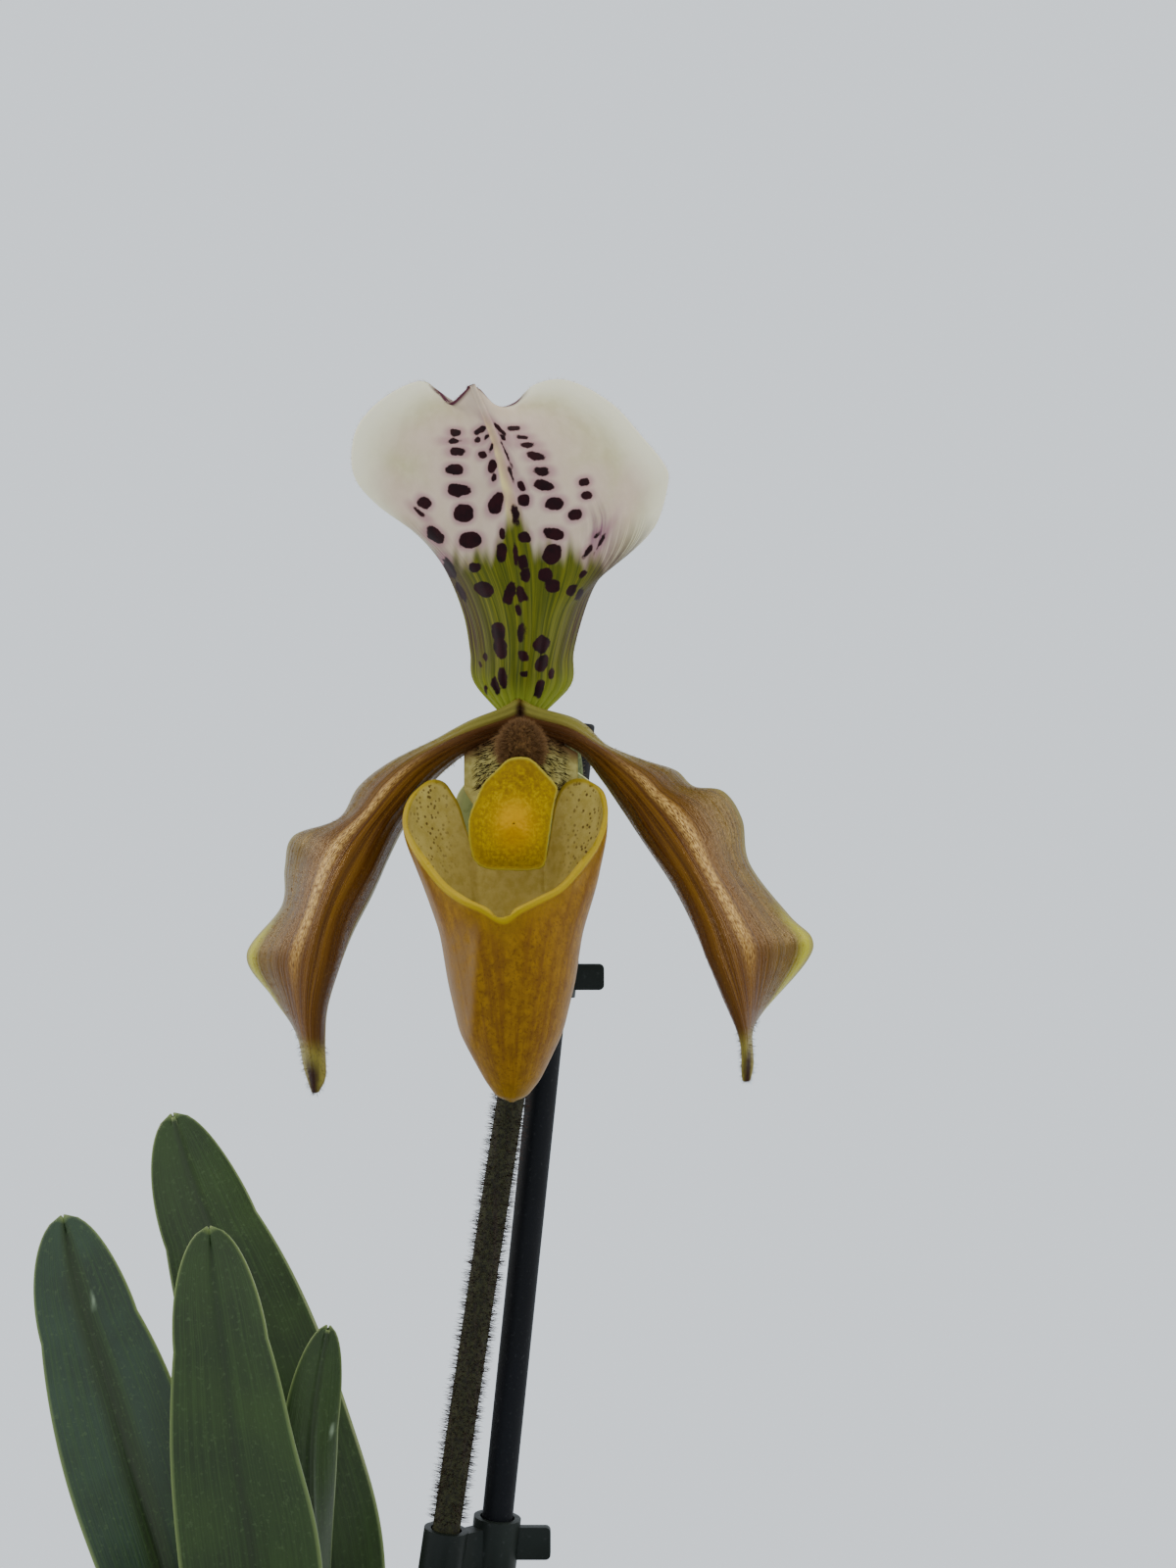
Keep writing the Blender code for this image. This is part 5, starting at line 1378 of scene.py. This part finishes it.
def chip_places(draw):
    """Places and sizes of chips that lie beside each other, clear of the crowns and the stake."""
    stake = stake_point(BARK_TOP)
    keep_clear = [(*CROWN_A, 8.5), (*CROWN_B, 8.5), (stake.x, stake.y, 4.5)]
    places = []
    for _ in range(CHIP_TRIES):
        if len(places) == CHIP_COUNT:
            break
        radius, angle = 52.5 * math.sqrt(draw.random()), draw.uniform(0.0, 2.0 * math.pi)
        x, y = turned(angle, radius)
        size = draw.uniform(*CHIP_SIZES)
        clear = all(math.hypot(x - cx, y - cy) > reach + size * 0.62
                    for cx, cy, reach in keep_clear)
        apart = all(math.hypot(x - px, y - py) > (size + other) * 0.42 for px, py, other in places)
        if clear and apart and radius + size * 0.75 < CHIP_REACH:
            places.append((x, y, size))
    return places


def build_bark():
    base = POT_INNER_BASE - FIT_GAP
    top = base + (POT_INNER_TOP - FIT_GAP - base) * 0.87
    low = POT_FLOOR + FIT_GAP
    profile = [(0.0, low), (base, low), (top, BARK_TOP - 2.0), (top - 1.5, BARK_TOP - 1.0),
               (0.0, BARK_TOP - 1.0)]
    paint = bark_paint()
    finish_piece("bark_plug", turned_mesh("bark_plug", profile, 96), paint, "bark", "bark_medium")
    draw = random.Random(SEED + 3)
    block_points, block_faces = chip_block()
    data = bmesh.new()
    for x, y, size in chip_places(draw):
        lengths = Vector((size * draw.uniform(1.5, 2.1), size * draw.uniform(0.9, 1.3),
                          size * draw.uniform(0.45, 0.75)))
        turn = Matrix.Rotation(draw.uniform(0.0, math.pi), 4, "Z")
        for axis in "XY":
            turn = turn @ Matrix.Rotation(draw.uniform(-0.4, 0.4), 4, axis)
        shift = Vector([draw.uniform(0, 99) for _ in range(3)])
        lift = BARK_TOP - 0.6 + lengths.z * 0.5 + draw.uniform(0.0, 1.4)
        made = []
        for corner in block_points:
            point = corner * (1.0 - 0.36 * max(corner.length - 0.55, 0.0))
            point += noise.noise_vector(corner * 2.2 + shift) * 0.16
            made.append(data.verts.new(turn @ (point * lengths) + Vector((x, y, lift))))
        for face in block_faces:
            data.faces.new([made[index] for index in face])
    bmesh.ops.scale(data, vec=(MM, MM, MM), verts=data.verts)
    finish_piece("bark_chips", crisp_edges(mesh_of("bark_chips", data), 50.0), paint, "bark")


def build_crowns():
    top = CROWN_TOP - CROWN_FOOT
    for node, place, radius in (("crown_flowering", CROWN_A, CROWN_A_RADIUS),
                                ("crown_young", CROWN_B, CROWN_B_RADIUS)):
        profile = rounded([(0.0, 0.0), (radius, 0.0), (radius, top - 3.5), (radius - 2.2, top),
                           (0.0, top)], 1.6)
        mesh = turned_mesh(node + "_detail", profile, 64, (*place, CROWN_FOOT))
        finish_piece(node + "_detail", mesh, crown_paint(node), "crown_green", node)


# Hairs on the flower


def build_bristles(petals):
    """Short gold bristles that lie along the front of the petals."""
    draw = random.Random(SEED + 21)
    hairs = Hairs("petal_bristles", draw)
    for rows, flip in petals:
        normal = surface_normals(rows) * (-1.0 if flip else 1.0)
        along, across = rows.shape[:2]
        made = 0
        while made < hairs.count:
            row, column = draw.randrange(20, along - 30), draw.randrange(3, across - 6)
            if draw.random() < 0.5 and not 0.25 < row / (along - 1) < 0.75:
                continue
            ahead = Vector(rows[row + 2, column] - rows[row, column]).normalized()
            out = Vector(normal[row, column])
            way = ahead + hairs.jitter(0.25)
            hairs.add(Vector(rows[row, column]) + out * 0.3, way + out * draw.uniform(0.15, 0.5))
            made += 1
    gold = hair_paint("gold bristles", rgb(112, 70, 18), rgb(186, 128, 60), 0.3)
    hairs.finish(gold, "petal_brown")


def build_shoulder_hairs(grids):
    """Dark hairs that fan outwards from both sides of the column."""
    draw = random.Random(SEED + 31)
    hairs = Hairs("shoulder_hairs", draw)
    for side, rows in zip((-1.0, 1.0), grids):
        for _ in range(hairs.count):
            row, column = draw.randrange(0, 21), int(23 * draw.random() ** 1.3)
            way = Vector((side * draw.uniform(0.5, 1.0), draw.uniform(-0.7, -0.1),
                          draw.uniform(-0.5, 0.15) - 0.7 * row / 30.0))
            hairs.add(Vector(rows[row, column]) + Vector((0.0, -0.25, 0.0)), way)
    hairs.finish(hair_paint("shoulder hairs", rgb(34, 16, 10), rgb(70, 44, 28)), "column_brown")


def build_margin_hairs(petals, dorsal, draw, paint):
    """Fine hairs along both edges of the petals and of the dorsal sepal."""
    hairs = Hairs("margin_hairs", draw)
    for rows, _ in petals:
        for row in range(14, len(rows) - 2):
            for column, inner in ((0, 3), (-1, -4)):
                outward = Vector(rows[row, column] - rows[row, inner]).normalized()
                if draw.random() < 0.75:
                    way = outward + hairs.jitter(0.5)
                    length = draw.uniform(0.2, 0.45) * (2.2 if row > 160 else 1.0)
                    hairs.add(rows[row, column], way, length)
    for row in range(10, 176):
        for column, inner in ((0, 4), (-1, -5)):
            outward = Vector(dorsal[row, column] - dorsal[row, inner]).normalized()
            for _ in range(hairs.count):
                step = Vector(dorsal[row + 1, column] - dorsal[row, column]) * draw.random()
                hairs.add(Vector(dorsal[row, column]) + step, outward + hairs.jitter(0.6))
    hairs.finish(paint, "petal_brown")


def build_flower_hairs(petals, dorsal, pouch):
    draw = random.Random(SEED + 9)
    dark = hair_paint("dark hairs", rgb(48, 26, 24), rgb(92, 62, 50))
    clear = hair_paint("pale hairs", rgb(170, 150, 120), rgb(214, 206, 190))
    brown = hair_paint("brown hairs", rgb(58, 36, 18), rgb(130, 96, 60))
    hairs = Hairs("petal_tip_hairs", draw)
    for rows, flip in petals:
        for side in (flip, not flip):
            hairs.scatter(rows, lambda u, v: v > 0.875 + 0.02 * draw.random(), 0.6,
                          (0.0, 0.0, -0.5), side)
    hairs.finish(dark, "petal_brown")
    hairs = Hairs("petal_base_hairs", draw)
    for rows, flip in petals:
        hairs.scatter(rows, lambda u, v: v < 0.2 and u > -0.1 and draw.random() < 1.1 - v * 5,
                      0.6, (0.0, -0.3, -0.5), flip)
    hairs.finish(brown, "petal_brown")
    build_margin_hairs(petals, dorsal, draw, clear)
    hairs = Hairs("column_hairs", draw)
    while len(hairs.hairs) < hairs.count:
        way = Vector([draw.gauss(0.0, 1.0) for _ in range(3)]).normalized()
        if way.y > 0.35 or way.z < -0.5:
            continue
        place = way * Vector(COLUMN_RADII) + Vector(COLUMN_MIDDLE) + Vector(FLOWER)
        out = Vector([part / radius for part, radius in zip(way, COLUMN_RADII)]).normalized()
        out += hairs.jitter(0.5)
        length = draw.uniform(hairs.shortest, hairs.longest) + 0.9 * abs(way.x) ** 3
        hairs.add(place, out, length)
    hairs.finish(brown, "column_brown")
    hairs = Hairs("ear_hairs", draw)
    normal = surface_normals(pouch, True)
    while len(hairs.hairs) < hairs.count:
        row, column = draw.randrange(2, 45), draw.randrange(pouch.shape[1])
        x, y, z = pouch[row, column] - FLOWER
        if abs(x + 1.5) < 8.5 or z < -21.0 or y < -15.0:
            continue
        outward = draw.random() < 0.45 and row < 8
        way = Vector(normal[row, column]) * (-1.0 if outward else 1.0)
        hairs.add(pouch[row, column], way + hairs.jitter(0.7))
    hairs.finish(dark, "pouch_yellow")
    hairs = Hairs("sepal_tip_hairs", draw)
    hairs.scatter(dorsal, lambda u, v: v > 0.9, 0.6, (0.0, 0.3, 0.4), True)
    hairs.finish(dark, "dorsal_white")


# Stage


def build_stage():
    world = bpy.data.worlds.new("pale room")
    world.use_nodes = True
    background = world.node_tree.nodes["Background"]
    background.inputs["Color"].default_value = ROOM_COLOUR
    background.inputs["Strength"].default_value = ROOM_STRENGTH
    bpy.context.scene.world = world
    data = bmesh.new()
    bmesh.ops.create_circle(data, cap_ends=True, segments=96, radius=FLOOR_RADIUS)
    floor = linked("floor", mesh_of("floor", data))
    floor.data.materials.append(floor_paint())


def build_camera_and_lights():
    camera = bpy.data.cameras.new("camera")
    camera.lens = LENS_MM
    camera.sensor_width = SENSOR_MM
    camera.clip_start = NEAREST_SEEN
    item = linked("camera", camera)
    item.location = Vector(CAMERA) * MM
    item.rotation_euler = (math.radians(90.0), 0.0, 0.0)
    bpy.context.scene.camera = item
    for name, (place, size, power, colour) in LIGHTS.items():
        lamp = bpy.data.lights.new(name, "AREA")
        lamp.shape = "RECTANGLE"
        lamp.size, lamp.size_y = size
        lamp.energy = power
        lamp.color = colour
        item = linked(name, lamp)
        item.location = place
        aim = Vector(LIGHT_AIM) - Vector(place)
        item.rotation_euler = aim.to_track_quat("-Z", "Y").to_euler()


def main():
    build_stage()
    build_camera_and_lights()
    build_pot()
    build_bark()
    build_crowns()
    for node, stations in LEAVES_B.items():
        # The left leaf gets a painted bluish sheen in its colour.
        build_leaf(node, stations, CROWN_B, node == "leaf_left")
    for node, shape in LEAVES_A.items():
        build_leaf(node, low_leaf_stations(*shape), CROWN_A, False)
    build_stem()
    build_stake()
    for name in CLIPS:
        build_clip(name)
    dorsal = build_dorsal()
    left = (PETAL_LEFT_UPPER, PETAL_LEFT_MIDDLE, PETAL_LEFT_LOWER)
    right = (PETAL_RIGHT_UPPER, PETAL_RIGHT_MIDDLE, PETAL_RIGHT_LOWER)
    petals = [(build_petal("petal_left", left, True), True),
              (build_petal("petal_right", right, False), False)]
    build_synsepal()
    pouch = build_pouch()
    build_column()
    build_staminode()
    build_ovary_and_bract()
    build_flower_hairs(petals, dorsal, pouch)
    build_bristles(petals)
    build_shoulder_hairs(build_shoulders())


main()
